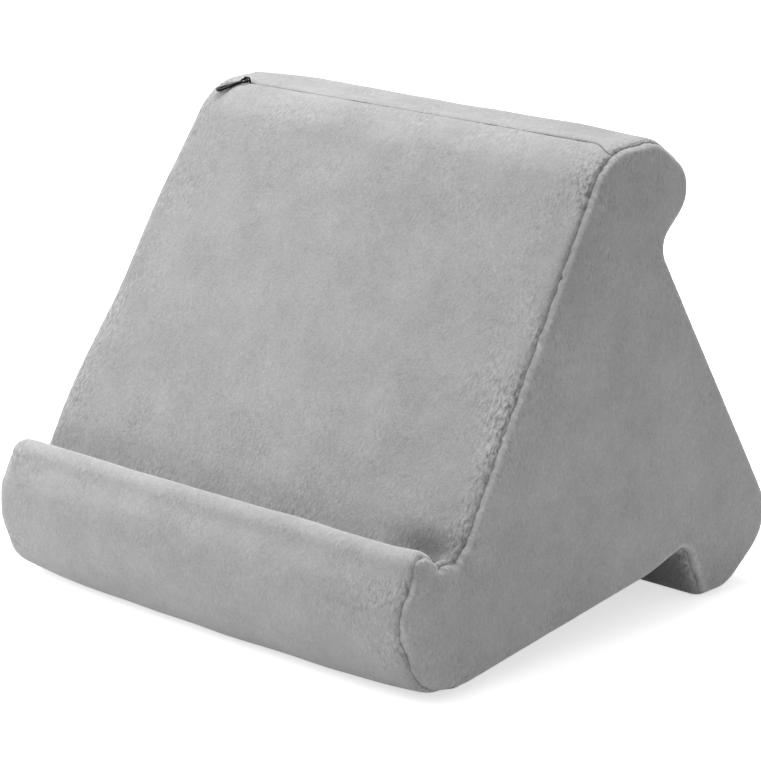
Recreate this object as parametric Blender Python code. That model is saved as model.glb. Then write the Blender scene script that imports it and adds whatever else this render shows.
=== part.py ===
"""Tablet stand: a foam wedge in a plush cover that closes with a zip along its top front edge.

Seen from the side the stand is a triangle with a lip at the end of each face, so it can lie on any face.
X runs along the width, -Y is the front, +Z is up. The origin is on the floor, in the middle of the stand.
All sizes are in metres and all angles in degrees.
"""

import bpy
import bmesh
from math import atan2, ceil, cos, degrees, pi, radians, sin, sqrt, tan
from mathutils import Matrix, Vector
from mathutils.geometry import delaunay_2d_cdt

# ---------------------------------------------------------------- side outline
SCREEN_ANGLE = 58.4          # the face that a tablet leans on, from the floor
BACK_ANGLE = 59.3            # the back face, from the floor
HEIGHT = 0.2625               # top front corner, before it is rounded
HEEL_ROUND = 0.031           # front bottom edge
LIP_LEAN = 16.5              # the front of the lip leans forward by this
LIP_BROW_HEIGHT = 0.052      # where the front of the lip turns back
LIP_BROW_ROUND = 0.030
LIP_HEIGHT = 0.0845           # crest of the lip, before it is rounded
LIP_CREST_SETBACK = 0.0108   # crest, behind the heel corner
LIP_CREST_ROUND = 0.009
TRAY_HEIGHT = 0.0670         # floor of the tray behind the lip
TRAY_SETBACK = 0.0085         # front edge of the tray, behind the crest
TRAY_WIDTH = 0.0135
TRAY_ROUND = 0.006
TOP_FRONT_ROUND = 0.036      # the zip runs along this edge
TOP_WIDTH = 0.0425
TOP_RISE = 0.0005            # the top rises this much towards the rear
TOP_REAR_ROUND = 0.0245
TOP_LIP_DROP = 35.7          # the outer face of the top lip falls at this angle
TOP_LIP_LENGTH = 0.049
TOP_LIP_ROUND = 0.0205
TOP_NOTCH_ANGLE = 38.5       # the underside of the top lip
TOP_NOTCH_LENGTH = 0.047
TOP_NOTCH_ROUND = 0.0085
BACK_CORNER_HEIGHT = 0.0315   # where the back face turns in to the rear foot
BACK_CORNER_ROUND = 0.0285
REAR_FOOT_ANGLE = 34.7       # the outer face of the rear foot
REAR_HEEL_ROUND = 0.030
REAR_FOOT_LENGTH = 0.0228
REAR_TOE_ROUND = 0.007
REAR_NOTCH_ANGLE = 114.5     # the inner face of the rear foot
REAR_NOTCH_HEIGHT = 0.0325
REAR_NOTCH_ROUND = 0.007
REAR_NOTCH_LENGTH = 0.0305
UNDERSIDE_HEIGHT = 0.0235    # the underside, where it meets the notch
UNDERSIDE_ROUND = 0.030
FRONT_FOOT_LENGTH = 0.037    # the flat under the lip, from the heel corner
FRONT_FOOT_ROUND = 0.060
HEEL_DRAW = 0.0040           # these corners are drawn in at the ends, and are full in the middle
BROW_DRAW = 0.0020
FRONT_FOOT_DRAW = 0.0025
END_DRAWS = {"heel": HEEL_DRAW, "brow": BROW_DRAW, "front_foot": FRONT_FOOT_DRAW}
DRAW_REACH = 0.085           # measured from the end
DRAW_STEPS = 4               # straight steps that cloth and foam share
SMALLEST_ROUND = 0.0010      # of the foam and the seams, in a corner with a small rounding
ARC_STEP = 15.0              # the widest angle between two points of a rounding
SEAM_SHARES = (0.0, 0.55, 0.85, 1.0)  # stations in the band that a seam draws in

# ---------------------------------------------------------------- cloth and foam
WIDTH = 0.294                # over the two side seams, at the top
FLARE = 0.0075                # the stand is wider at the floor by this, at each end
CLOTH = 0.0018               # plush with its pile
GAP = 0.0003                 # between pieces that touch
SEAM_TUCK = 0.003            # the cloth is drawn in this far at a side seam
SEAM_REACH = 0.011           # width of the band that the seam draws in
SIDE_CROWN = 0.0055          # the side panels puff out by this
SIDE_CROWN_REACH = 0.030     # distance from the seam to the flat of the crown
FOAM_EDGE = 0.0024           # extra rounding of the foam at its ends
FOAM_END_EASE = 0.0006       # the foam's crown is lower than the cloth's by this
THREAD = 0.0007              # diameter of the sewing thread
THREAD_INSET = 0.0006        # a side seam's thread lies this far inside the cloth
GRID = 0.018                 # spacing of the points inside the crowned ends
GRID_MARGIN = 0.0072         # and their least distance from the edge

# ---------------------------------------------------------------- zip
ZIP_OFFSET = 0.0115          # the zip's middle, behind the middle of the rounded top front edge
SLIT = 0.0016                # between the two cloth edges over the zip
HEM_START = 0.0052           # the cloth is folded under itself from here, measured from the zip's middle
HEM_WIDTH = 0.0055
HEM_RAMP = 0.0014
HEM_DEPTH = 0.0032
STRIP_STEP = 0.0035          # the widest facet of a strip that follows the rounding
TAPE_THICKNESS = 0.0005
TAPE_START = 0.0009          # inner edge of a tape, from the zip's middle
TAPE_WIDTH = 0.0098
ZIP_THREAD_START = 0.0080    # the line of stitches that holds a tape to its hem
ZIP_END_MARGIN = 0.002       # the tapes stop this far short of the drawn-in band
COIL_HEIGHT = 0.0014
COIL_START = 0.0007
COIL_WIDTH = 0.0019
COIL_BEVEL = 0.0004
SLIDER_LENGTH = 0.008
SLIDER_HALF_WIDTH = 0.0035
SLIDER_WALL = 0.0008
SLIDER_CLEARANCE = 0.0005    # slider to cloth and tape, along the zip's normal
SLIDER_NECK = 0.0008         # wall between the two coils
FLANGE = 0.0005
STOP_LENGTH = 0.002
STOP_HEIGHT = 0.0010
BRIDGE_SPAN = 0.0034         # clear length under the bridge
BRIDGE_POST = 0.0006
BRIDGE_WIDTH = 0.0010
BRIDGE_CLEAR_HEIGHT = 0.0022 # underside of the bridge above the cloth
BRIDGE_BAR = 0.0008
PULL_HEIGHT = 0.0014         # the pull's crossbar above the cloth
CROSSBAR = 0.0010            # diameter
PULL_YAW = 58.0              # the pull points to the left end and this far down the screen face
PULL_LEAN = 7.0              # and dips this far towards the cloth
PULL_THICKNESS = 0.0011
PULL_LENGTH = 0.0190         # crossbar to tip
LOOP_HALF_WIDTH = 0.0022     # inside the loop
LOOP_WIRE = 0.0007
LOOP_STRAIGHT = 0.0024
LOOP_LENGTH = 0.0037
LOOP_WAIST_HALF_WIDTH = 0.0014  # halfway along the loop's taper
LOOP_END_HALF_WIDTH = 0.0005
NECK_HALF_WIDTH = 0.0010
NECK_START = 0.0052
LEAF_START = 0.0085
LEAF_HALF_WIDTH = 0.0027
LEAF_START_HALF_WIDTH = 0.0011
LEAF_SHOULDER = 0.0130
SHOULDER_HALF_WIDTH = 0.0025
TIP_STEPS = 5                # straight steps in each quarter of the rounded tip
SLOT_START = 0.0122
SLOT_END = 0.0168
SLOT_HALF_WIDTH = 0.0007

PLUSH = (0.43, 0.43, 0.42)
FOAM = (0.80, 0.78, 0.70)
BLACK = (0.012, 0.012, 0.013)
GREY_THREAD = (0.45, 0.45, 0.44)


# ================================================================ outline
def step_from(point, angle, length):
    """The point that lies length away from point, at angle above +Y."""
    return Vector((point[0] + length * cos(radians(angle)), point[1] + length * sin(radians(angle))))


def sharp_corners():
    """Name, sharp corner (y, z) and radius of each corner, clockwise seen from the right end."""
    heel = Vector((0.0, 0.0))
    brow = Vector((-LIP_BROW_HEIGHT * tan(radians(LIP_LEAN)), LIP_BROW_HEIGHT))
    crest = Vector((LIP_CREST_SETBACK, LIP_HEIGHT))
    tray_front = Vector((crest.x + TRAY_SETBACK, TRAY_HEIGHT))
    tray_back = Vector((tray_front.x + TRAY_WIDTH, TRAY_HEIGHT))
    top_front = step_from(tray_back, SCREEN_ANGLE, (HEIGHT - TRAY_HEIGHT) / sin(radians(SCREEN_ANGLE)))
    top_rear = Vector((top_front.x + TOP_WIDTH, HEIGHT + TOP_RISE))
    top_lip = step_from(top_rear, -TOP_LIP_DROP, TOP_LIP_LENGTH)
    top_notch = step_from(top_lip, 180.0 + TOP_NOTCH_ANGLE, TOP_NOTCH_LENGTH)
    back_length = (top_notch.y - BACK_CORNER_HEIGHT) / sin(radians(BACK_ANGLE))
    back_corner = step_from(top_notch, -BACK_ANGLE, back_length)
    foot_length = BACK_CORNER_HEIGHT / sin(radians(REAR_FOOT_ANGLE))
    rear_heel = step_from(back_corner, 180.0 + REAR_FOOT_ANGLE, foot_length)
    rear_toe = Vector((rear_heel.x - REAR_FOOT_LENGTH, 0.0))
    rear_notch = step_from(rear_toe, REAR_NOTCH_ANGLE, REAR_NOTCH_HEIGHT / sin(radians(REAR_NOTCH_ANGLE)))
    underside = Vector((rear_notch.x - REAR_NOTCH_LENGTH, UNDERSIDE_HEIGHT))
    front_foot = Vector((FRONT_FOOT_LENGTH, 0.0))
    return [
        ("heel", heel, HEEL_ROUND),
        ("brow", brow, LIP_BROW_ROUND),
        ("crest", crest, LIP_CREST_ROUND),
        ("tray_front", tray_front, TRAY_ROUND),
        ("tray_back", tray_back, TRAY_ROUND),
        ("top_front", top_front, TOP_FRONT_ROUND),
        ("top_rear", top_rear, TOP_REAR_ROUND),
        ("top_lip", top_lip, TOP_LIP_ROUND),
        ("top_notch", top_notch, TOP_NOTCH_ROUND),
        ("back_corner", back_corner, BACK_CORNER_ROUND),
        ("rear_heel", rear_heel, REAR_HEEL_ROUND),
        ("rear_toe", rear_toe, REAR_TOE_ROUND),
        ("rear_notch", rear_notch, REAR_NOTCH_ROUND),
        ("underside", underside, UNDERSIDE_ROUND),
        ("front_foot", front_foot, FRONT_FOOT_ROUND),
    ]


def normal_of(angle):
    """Outward normal of the outline where it runs at an angle, in radians, above +Y."""
    return Vector((-sin(angle), cos(angle)))


class Rounding:
    """One rounded corner of the outline: an arc that can be read at any share of its length."""

    def __init__(self, name, before, corner, after, radius):
        self.draw = END_DRAWS.get(name, 0.0)
        arrive = (corner - before).normalized()
        leave = (after - corner).normalized()
        self.corner = corner
        self.radius = radius
        self.arrive = arrive
        self.leave = leave
        self.start_angle = atan2(arrive.y, arrive.x)
        self.turn = atan2(arrive.x * leave.y - arrive.y * leave.x, arrive.dot(leave))
        self.hollow = self.turn > 0.0
        self.bisector = normal_of(self.start_angle + self.turn / 2.0)

    def length(self):
        return self.radius * abs(self.turn)

    def at(self, share, inset=0.0):
        """Point at a share of the arc, 0 at its start and 1 at its end, on the outline drawn in by inset.

        The radius of a bulging corner shrinks with the inset, down to SMALLEST_ROUND, and a hollow
        one's grows.
        """
        side = 1.0 if self.hollow else -1.0
        radius = self.radius + inset if self.hollow else max(self.radius - inset, SMALLEST_ROUND)
        reach = (radius * side - inset) / cos(self.turn / 2.0)
        centre = self.corner + self.bisector * reach
        return centre - self.normal(share) * radius * side

    def normal(self, share):
        return normal_of(self.start_angle + self.turn * share)

    def shares(self, first=0.0, last=1.0):
        count = max(1, ceil(degrees(abs(self.turn)) * (last - first) / ARC_STEP))
        return [first + (last - first) * i / count for i in range(count + 1)]


class Flat:
    """The straight stretch after a rounding, which can be read at any share of its length in the same way."""

    def __init__(self, before, after):
        self.draw = 0.0
        self.before = before
        self.after = after

    def length(self):
        return (self.after.at(0.0) - self.before.at(1.0)).length

    def at(self, share, inset=0.0):
        return self.before.at(1.0, inset).lerp(self.after.at(0.0, inset), share)

    def normal(self, share):
        return self.before.normal(1.0)


def make_roundings():
    corners = sharp_corners()
    count = len(corners)
    roundings = {}
    for i, (name, corner, radius) in enumerate(corners):
        before = corners[i - 1][1]
        after = corners[(i + 1) % count][1]
        roundings[name] = Rounding(name, before, corner, after, radius)
    points = [arc.at(share) for arc in roundings.values() for share in arc.shares()]
    middle = (min(p.x for p in points) + max(p.x for p in points)) / 2.0
    for arc in roundings.values():
        arc.corner = arc.corner - Vector((middle, 0.0))
    return roundings


ARCS = make_roundings()
ZIP_ARC = ARCS["top_front"]
TOP_FLAT = Flat(ZIP_ARC, ARCS["top_rear"])


def outline_between(start, start_share, end, end_share):
    """Samples along the outline, each a rounding and a share of it, from one rounding to another."""
    names = list(ARCS)
    first = names.index(start)
    last = names.index(end)
    if last <= first:
        last += len(names)
    samples = []
    for i in range(first, last + 1):
        arc = ARCS[names[i % len(names)]]
        low = start_share if i == first else 0.0
        high = end_share if i == last else 1.0
        samples += [(arc, share) for share in arc.shares(low, high)]
    return samples


def whole_outline():
    return [(arc, share) for arc in ARCS.values() for share in arc.shares()]


def draw_share(x):
    """How much of the draw-in at the ends there is at a place along X, from 0 to 1."""
    steps = max(0.0, 1.0 - (WIDTH / 2.0 - abs(x)) / DRAW_REACH) * DRAW_STEPS
    step = min(int(steps), DRAW_STEPS - 1)
    rise = (step + 1) ** 2 - step ** 2
    return (step ** 2 + rise * (steps - step)) / DRAW_STEPS ** 2


def points_of(samples, inset, x):
    """Points of the outline at a place along X, drawn in by an inset."""
    return [arc.at(share, inset + arc.draw * draw_share(x)) for arc, share in samples]


def zip_sample(distance):
    """Sample of the outline at a distance from the zip's middle, measured along the cloth to the rear."""
    place = ZIP_OFFSET + distance + ZIP_ARC.length() / 2.0
    if place > ZIP_ARC.length():
        return TOP_FLAT, (place - ZIP_ARC.length()) / TOP_FLAT.length()
    return ZIP_ARC, place / ZIP_ARC.length()


# ================================================================ mesh helpers
def add_material(obj, name, colour, roughness, metallic=0.0):
    material = bpy.data.materials.get(name) or bpy.data.materials.new(name)
    material.use_nodes = True
    shader = material.node_tree.nodes["Principled BSDF"]
    shader.inputs["Base Color"].default_value = (*colour, 1.0)
    shader.inputs["Roughness"].default_value = roughness
    shader.inputs["Metallic"].default_value = metallic
    material.diffuse_color = (*colour, 1.0)
    obj.data.materials.append(material)


def finish_object(name, mesh_data, colour, roughness, metallic=0.0, smooth_angle=30.0):
    """Turn a bmesh into a named object with its own material."""
    bmesh.ops.recalc_face_normals(mesh_data, faces=mesh_data.faces)
    mesh = bpy.data.meshes.new(name)
    mesh_data.to_mesh(mesh)
    mesh_data.free()
    mesh.shade_smooth()
    mesh.set_sharp_from_angle(angle=radians(smooth_angle))
    obj = bpy.data.objects.new(name, mesh)
    bpy.context.scene.collection.objects.link(obj)
    add_material(obj, name, colour, roughness, metallic)
    return obj


def stations_along(end, tuck, reach, steps):
    """Places along X, each with how far the seam draws the section in there."""
    right = [(WIDTH / 2.0 - DRAW_REACH * (1.0 - i / steps), 0.0) for i in range(steps)]
    right += [(end - reach + reach * u, tuck * (1.0 - sqrt(1.0 - u * u))) for u in SEAM_SHARES]
    left = [(-x, drawn) for x, drawn in reversed(right)]
    return left + right


def loft(mesh_data, loops):
    """Join closed loops of equal length with quads, and return their vertices."""
    rings = [[mesh_data.verts.new(point) for point in loop] for loop in loops]
    count = len(rings[0])
    for a, b in zip(rings, rings[1:]):
        for i in range(count):
            j = (i + 1) % count
            mesh_data.faces.new((a[i], a[j], b[j], b[i]))
    return rings


def reach_of(a, b):
    """Distance of the middle between two vertices from the line through the stand's middle along X."""
    middle = (a.co + b.co) / 2.0
    return Vector((middle.y, middle.z - HEIGHT / 2.0)).length


def finish_cushion(name, mesh_data, colour, roughness):
    """Widen a shape towards the floor and turn it into an object.

    Each quad is split along the diagonal that stands out further, so that cloth and foam are split alike.
    """
    for vert in mesh_data.verts:
        vert.co.x *= 1.0 + FLARE / (WIDTH / 2.0) * (1.0 - vert.co.z / HEIGHT)
    for face in [face for face in mesh_data.faces if len(face.verts) == 4]:
        a, b, c, d = face.verts
        ends = (a, c) if reach_of(a, c) > reach_of(b, d) else (b, d)
        bmesh.utils.face_split(face, *ends)
    return finish_object(name, mesh_data, colour, roughness)


def cloth_strip(name, samples, hems=None, steps=0):
    """A strip of cloth that follows the outline and spans the width, drawn in at both side seams.

    Its hems, the extra thickness at each sample, end where the seams start to draw the cloth in.
    Steps are the extra stations of a strip that is also drawn in at the heel.
    """
    end = WIDTH / 2.0 - CLOTH - GAP
    loops = []
    for x, drawn in stations_along(end, SEAM_TUCK, SEAM_REACH, steps):
        outer = points_of(samples, drawn, x)
        inner = points_of(samples, drawn + CLOTH, x)
        if hems and drawn == 0.0:
            inner = [arc.at(share, CLOTH + hem) for (arc, share), hem in zip(samples, hems)]
        loops.append([(x, p.x, p.y) for p in outer + inner[::-1]])
    mesh_data = bmesh.new()
    rings = loft(mesh_data, loops)
    count = len(samples)
    for ring in (rings[0], rings[-1]):
        for i in range(count - 1):
            mesh_data.faces.new((ring[i], ring[i + 1], ring[-i - 2], ring[-i - 1]))
    return finish_cushion(name, mesh_data, PLUSH, 0.95)


def crown_height(distance, crown):
    """How far a crowned end stands out at a distance from its edge."""
    share = min(distance / SIDE_CROWN_REACH, 1.0)
    return crown * (1.0 - (1.0 - share) ** 2)


def distance_to_edge(point, ring):
    distances = []
    for a, b in zip(ring, ring[1:] + ring[:1]):
        along = b - a
        share = max(0.0, min(1.0, (point - a).dot(along) / max(along.length_squared, 1e-12)))
        distances.append((point - a - along * share).length)
    return min(distances)


def is_inside(point, ring):
    inside = False
    for a, b in zip(ring, ring[1:] + ring[:1]):
        if (a.y > point.y) != (b.y > point.y):
            if point.x < a.x + (b.x - a.x) * (point.y - a.y) / (b.y - a.y):
                inside = not inside
    return inside


def fill_outline(ring):
    """Triangles that fill a closed outline, with a grid of points inside it.

    Returns the points, each one's distance to the edge, and the triangles. The outline's own points
    come first.
    """
    points = list(ring)
    low = Vector((min(p.x for p in ring), min(p.y for p in ring)))
    high = Vector((max(p.x for p in ring), max(p.y for p in ring)))
    rows = ceil((high.y - low.y) / GRID)
    columns = ceil((high.x - low.x) / GRID)
    for row in range(rows + 1):
        for column in range(columns + 1):
            shift = 0.5 if row % 2 else 0.0
            point = low + Vector(((column + shift) * GRID, (row + 0.5) * GRID))
            if is_inside(point, ring) and distance_to_edge(point, ring) > GRID_MARGIN:
                points.append(point)
    edges = [(i, (i + 1) % len(ring)) for i in range(len(ring))]
    _, _, faces, origins, _, _ = delaunay_2d_cdt(points, edges, [], 1, 1e-7)
    source = [origin[0] for origin in origins]
    triangles = [[source[i] for i in face] for face in faces]
    depths = [0.0 if i < len(ring) else distance_to_edge(p, ring) for i, p in enumerate(points)]
    return points, depths, triangles


# ================================================================ cover and foam
def edge_samples_of_zip(side):
    """Samples and hems of a cloth edge at the zip, from the slit outwards; side is -1 front, 1 rear.

    The front one goes on to the start of the rounding, and the rear one ends on the flat behind it.
    """
    stations = [
        (SLIT / 2.0, 0.0),
        (HEM_START - HEM_RAMP, 0.0),
        (HEM_START, HEM_DEPTH),
        (HEM_START + HEM_WIDTH / 2.0, HEM_DEPTH),
        (HEM_START + HEM_WIDTH, HEM_DEPTH),
        (HEM_START + HEM_WIDTH + HEM_RAMP, 0.0),
    ]
    samples = [zip_sample(side * distance) for distance, _ in stations]
    hems = [hem for _, hem in stations]
    if side < 0.0:
        _, last_share = samples[-1]
        rest_of_arc = [(ZIP_ARC, share) for share in ZIP_ARC.shares(0.0, last_share)[-2::-1]]
        samples += rest_of_arc
        hems += [0.0] * len(rest_of_arc)
    return samples, hems


def half_gap(name):
    """Half the gap between two panels that meet in a corner, as a share of its rounding."""
    return GAP / 2.0 / ARCS[name].length()


def make_cover_strips():
    """The four panels that go round the stand. They meet at the zip and in the three inner corners."""
    front_edge, front_hem = edge_samples_of_zip(-1.0)
    rear_edge, rear_hem = edge_samples_of_zip(1.0)

    tray_back = ARCS["tray_back"]
    foot_of_screen = [(tray_back, share) for share in tray_back.shares(0.5 + half_gap("tray_back"), 1.0)]
    no_hem = [0.0] * len(foot_of_screen)
    cloth_strip("cover_screen_panel", foot_of_screen + front_edge[::-1], no_hem + front_hem[::-1])

    over_the_top = outline_between("top_rear", 0.0, "top_notch", 0.5 - half_gap("top_notch"))
    cloth_strip("cover_top_panel", rear_edge + over_the_top, rear_hem + [0.0] * len(over_the_top))

    after_notch = 0.5 + half_gap("top_notch")
    before_rear = 0.5 - half_gap("rear_notch")
    back = outline_between("top_notch", after_notch, "rear_notch", before_rear)
    cloth_strip("cover_back_panel", back)

    after_rear = 0.5 + half_gap("rear_notch")
    before_tray = 0.5 - half_gap("tray_back")
    lip = outline_between("rear_notch", after_rear, "tray_back", before_tray)
    cloth_strip("cover_lip_panel", lip, steps=DRAW_STEPS)


def make_side_panel(name, side):
    """A crowned cloth panel that closes one end; side is -1 left, 1 right."""
    ring = points_of(whole_outline(), SEAM_TUCK, WIDTH / 2.0)
    points, depths, triangles = fill_outline(ring)
    mesh_data = bmesh.new()
    layers = []
    for x in (WIDTH / 2.0, WIDTH / 2.0 - CLOTH):
        heights = [crown_height(depth, SIDE_CROWN) for depth in depths]
        layers.append([mesh_data.verts.new((side * (x + h), p.x, p.y)) for p, h in zip(points, heights)])
    for layer in layers:
        for triangle in triangles:
            mesh_data.faces.new([layer[i] for i in triangle])
    for i in range(len(ring)):
        j = (i + 1) % len(ring)
        mesh_data.faces.new((layers[0][i], layers[0][j], layers[1][j], layers[1][i]))
    finish_cushion(name, mesh_data, PLUSH, 0.95)


def slider_depths():
    """Depths below the cloth's outer face of the zip's layers, from the outside in.

    They are the slider's top wing and its underside, the coils, the tapes, and the bottom wing and its
    underside.
    """
    tape_top = CLOTH + HEM_DEPTH + GAP
    coil_top = tape_top - GAP - COIL_HEIGHT
    wing_top = CLOTH + SLIDER_CLEARANCE + SLIDER_HALF_WIDTH ** 2 / (2.0 * TOP_FRONT_ROUND)
    bottom_wing = tape_top + TAPE_THICKNESS + SLIDER_CLEARANCE
    return wing_top, wing_top + SLIDER_WALL, coil_top, tape_top, bottom_wing, bottom_wing + SLIDER_WALL


def sunk_depth(distance, depth):
    """Depth below the zip's middle of a point beside it, whose own depth below the rounded cloth is given."""
    return TOP_FRONT_ROUND - (TOP_FRONT_ROUND - depth) * cos(distance / TOP_FRONT_ROUND)


def zip_room():
    """Depth below the cloth's outer face at which the foam is cut flat, to leave the zip its room."""
    tape_bottom = slider_depths()[3] + TAPE_THICKNESS
    lowest_tape = sunk_depth(TAPE_START + TAPE_WIDTH, tape_bottom)
    lowest_thread = sunk_depth(ZIP_THREAD_START + THREAD, tape_bottom + GAP + THREAD)
    lowest_hem = sunk_depth(HEM_START + HEM_WIDTH, CLOTH + HEM_DEPTH)
    return max(slider_depths()[5], lowest_tape, lowest_thread, lowest_hem) + GAP


def make_foam_core():
    """One block of foam, a little smaller than the cover, with its top edge cut flat under the zip."""
    samples = whole_outline()
    end = WIDTH / 2.0 - CLOTH - GAP
    stations = stations_along(end, SEAM_TUCK + FOAM_EDGE, SEAM_REACH + FOAM_EDGE, DRAW_STEPS)
    rings = [points_of(samples, drawn + CLOTH + GAP, x) for x, drawn in stations]
    mesh_data = bmesh.new()
    lofted = loft(mesh_data, [[(x, p.x, p.y) for p in ring] for (x, _), ring in zip(stations, rings)])
    points, depths, triangles = fill_outline(rings[0])
    for side, ring in ((-1.0, lofted[0]), (1.0, lofted[-1])):
        inner = []
        for p, depth in zip(points[len(ring):], depths[len(ring):]):
            height = max(0.0, crown_height(depth, SIDE_CROWN) - FOAM_END_EASE)
            inner.append(mesh_data.verts.new((side * (end + height), p.x, p.y)))
        cap = ring + inner
        for triangle in triangles:
            mesh_data.faces.new([cap[i] for i in triangle])
    foam = finish_cushion("foam_core", mesh_data, FOAM, 0.9)

    cutter_data = bmesh.new()
    reach = TOP_FRONT_ROUND
    low = (-WIDTH, -reach, -zip_room())
    high = (WIDTH, HEM_START + HEM_WIDTH + HEM_RAMP, reach)
    box_between(cutter_data, low, high, zip_frame(0.0))
    cutter = finish_object("zip_room_shape", cutter_data, FOAM, 0.9)
    cutter.hide_render = True
    cutter.display_type = "WIRE"
    cut = foam.modifiers.new("room for the zip", "BOOLEAN")
    cut.operation = "DIFFERENCE"
    cut.object = cutter


def make_side_seam_thread(name, side):
    """The thread that joins one side panel to the strips, a closed loop just inside the seam."""
    inset = SEAM_TUCK + CLOTH + THREAD_INSET
    x = side * (WIDTH / 2.0 - CLOTH - GAP - THREAD_INSET)
    radius = THREAD / 2.0
    section = [(radius, 0.0), (0.0, radius), (-radius, 0.0), (0.0, -radius)]
    rings = []
    mesh_data = bmesh.new()
    for arc, share in whole_outline():
        drawn = inset + arc.draw * draw_share(x)
        ring = [(x + dx, *arc.at(share, drawn + depth)) for dx, depth in section]
        rings.append([mesh_data.verts.new(point) for point in ring])
    for a, b in zip(rings, rings[1:] + rings[:1]):
        for i in range(4):
            j = (i + 1) % 4
            mesh_data.faces.new((a[i], a[j], b[j], b[i]))
    finish_cushion(name, mesh_data, GREY_THREAD, 0.8)


# ================================================================ zip
CHAIN_END = WIDTH / 2.0 - CLOTH - GAP - SEAM_REACH - ZIP_END_MARGIN
SLIDER_X = -CHAIN_END + STOP_LENGTH + GAP + SLIDER_LENGTH / 2.0


def zip_frame(x):
    """Frame on the cloth's outer face over the zip: X along it, Y up the top face, Z outwards."""
    stretch, share = zip_sample(0.0)
    point = stretch.at(share)
    normal = stretch.normal(share)
    along = Vector((1.0, 0.0, 0.0))
    outward = Vector((0.0, normal.x, normal.y))
    across = outward.cross(along)
    frame = Matrix((along, across, outward)).transposed().to_4x4()
    frame.translation = Vector((x, point.x, point.y))
    return frame


def arc_strip(name, side, start, width, top, thickness, colour, roughness):
    """A strip that runs the length of the zip and follows the rounding across it."""
    steps = ceil(width / STRIP_STEP)
    distances = [side * (start + width * i / steps) for i in range(steps + 1)]
    samples = [zip_sample(distance) for distance in distances]
    section = points_of(samples, top, 0.0) + points_of(samples, top + thickness, 0.0)[::-1]
    mesh_data = bmesh.new()
    rings = loft(mesh_data, [[(x, p.x, p.y) for p in section] for x in (-CHAIN_END, CHAIN_END)])
    for ring in rings:
        for i in range(steps):
            mesh_data.faces.new((ring[i], ring[i + 1], ring[-i - 2], ring[-i - 1]))
    return finish_object(name, mesh_data, colour, roughness)


def make_zip_halves():
    _, _, coil_top, tape_top, _, _ = slider_depths()
    thread_top = tape_top + TAPE_THICKNESS + GAP
    for side, word in ((-1.0, "front"), (1.0, "rear")):
        arc_strip(f"zipper_tape_{word}", side, TAPE_START, TAPE_WIDTH, tape_top, TAPE_THICKNESS, PLUSH, 0.8)
        name = f"zipper_coil_{word}"
        coil = arc_strip(name, side, COIL_START, COIL_WIDTH, coil_top, COIL_HEIGHT, BLACK, 0.4)
        bevel = coil.modifiers.new("rounded coil", "BEVEL")
        bevel.width = COIL_BEVEL
        bevel.segments = 1
        name = f"zipper_thread_{word}"
        arc_strip(name, side, ZIP_THREAD_START, THREAD, thread_top, THREAD, GREY_THREAD, 0.8)


def box_between(mesh_data, low, high, frame):
    """A box between two corners given in a frame."""
    size = Vector(high) - Vector(low)
    middle = (Vector(high) + Vector(low)) / 2.0
    matrix = frame @ Matrix.Translation(middle) @ Matrix.Diagonal((*size, 1.0))
    bmesh.ops.create_cube(mesh_data, size=1.0, matrix=matrix)


def make_stop(name, x, side):
    """A small block clamped on a coil, over the tape."""
    _, _, coil_top, tape_top, _, _ = slider_depths()
    centre = COIL_START + COIL_WIDTH / 2.0
    mesh_data = bmesh.new()
    frame = zip_frame(x)
    if side == 0.0:
        low = (-STOP_LENGTH / 2.0, -COIL_START - COIL_WIDTH, -coil_top + GAP)
        high = (STOP_LENGTH / 2.0, COIL_START + COIL_WIDTH, -coil_top + GAP + STOP_HEIGHT)
    else:
        low = (-STOP_LENGTH / 2.0, side * centre - COIL_WIDTH / 2.0, -coil_top + GAP)
        high = (STOP_LENGTH / 2.0, side * centre + COIL_WIDTH / 2.0, -coil_top + GAP + STOP_HEIGHT)
    box_between(mesh_data, low, high, frame)
    finish_object(name, mesh_data, BLACK, 0.4, 0.0)


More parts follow.
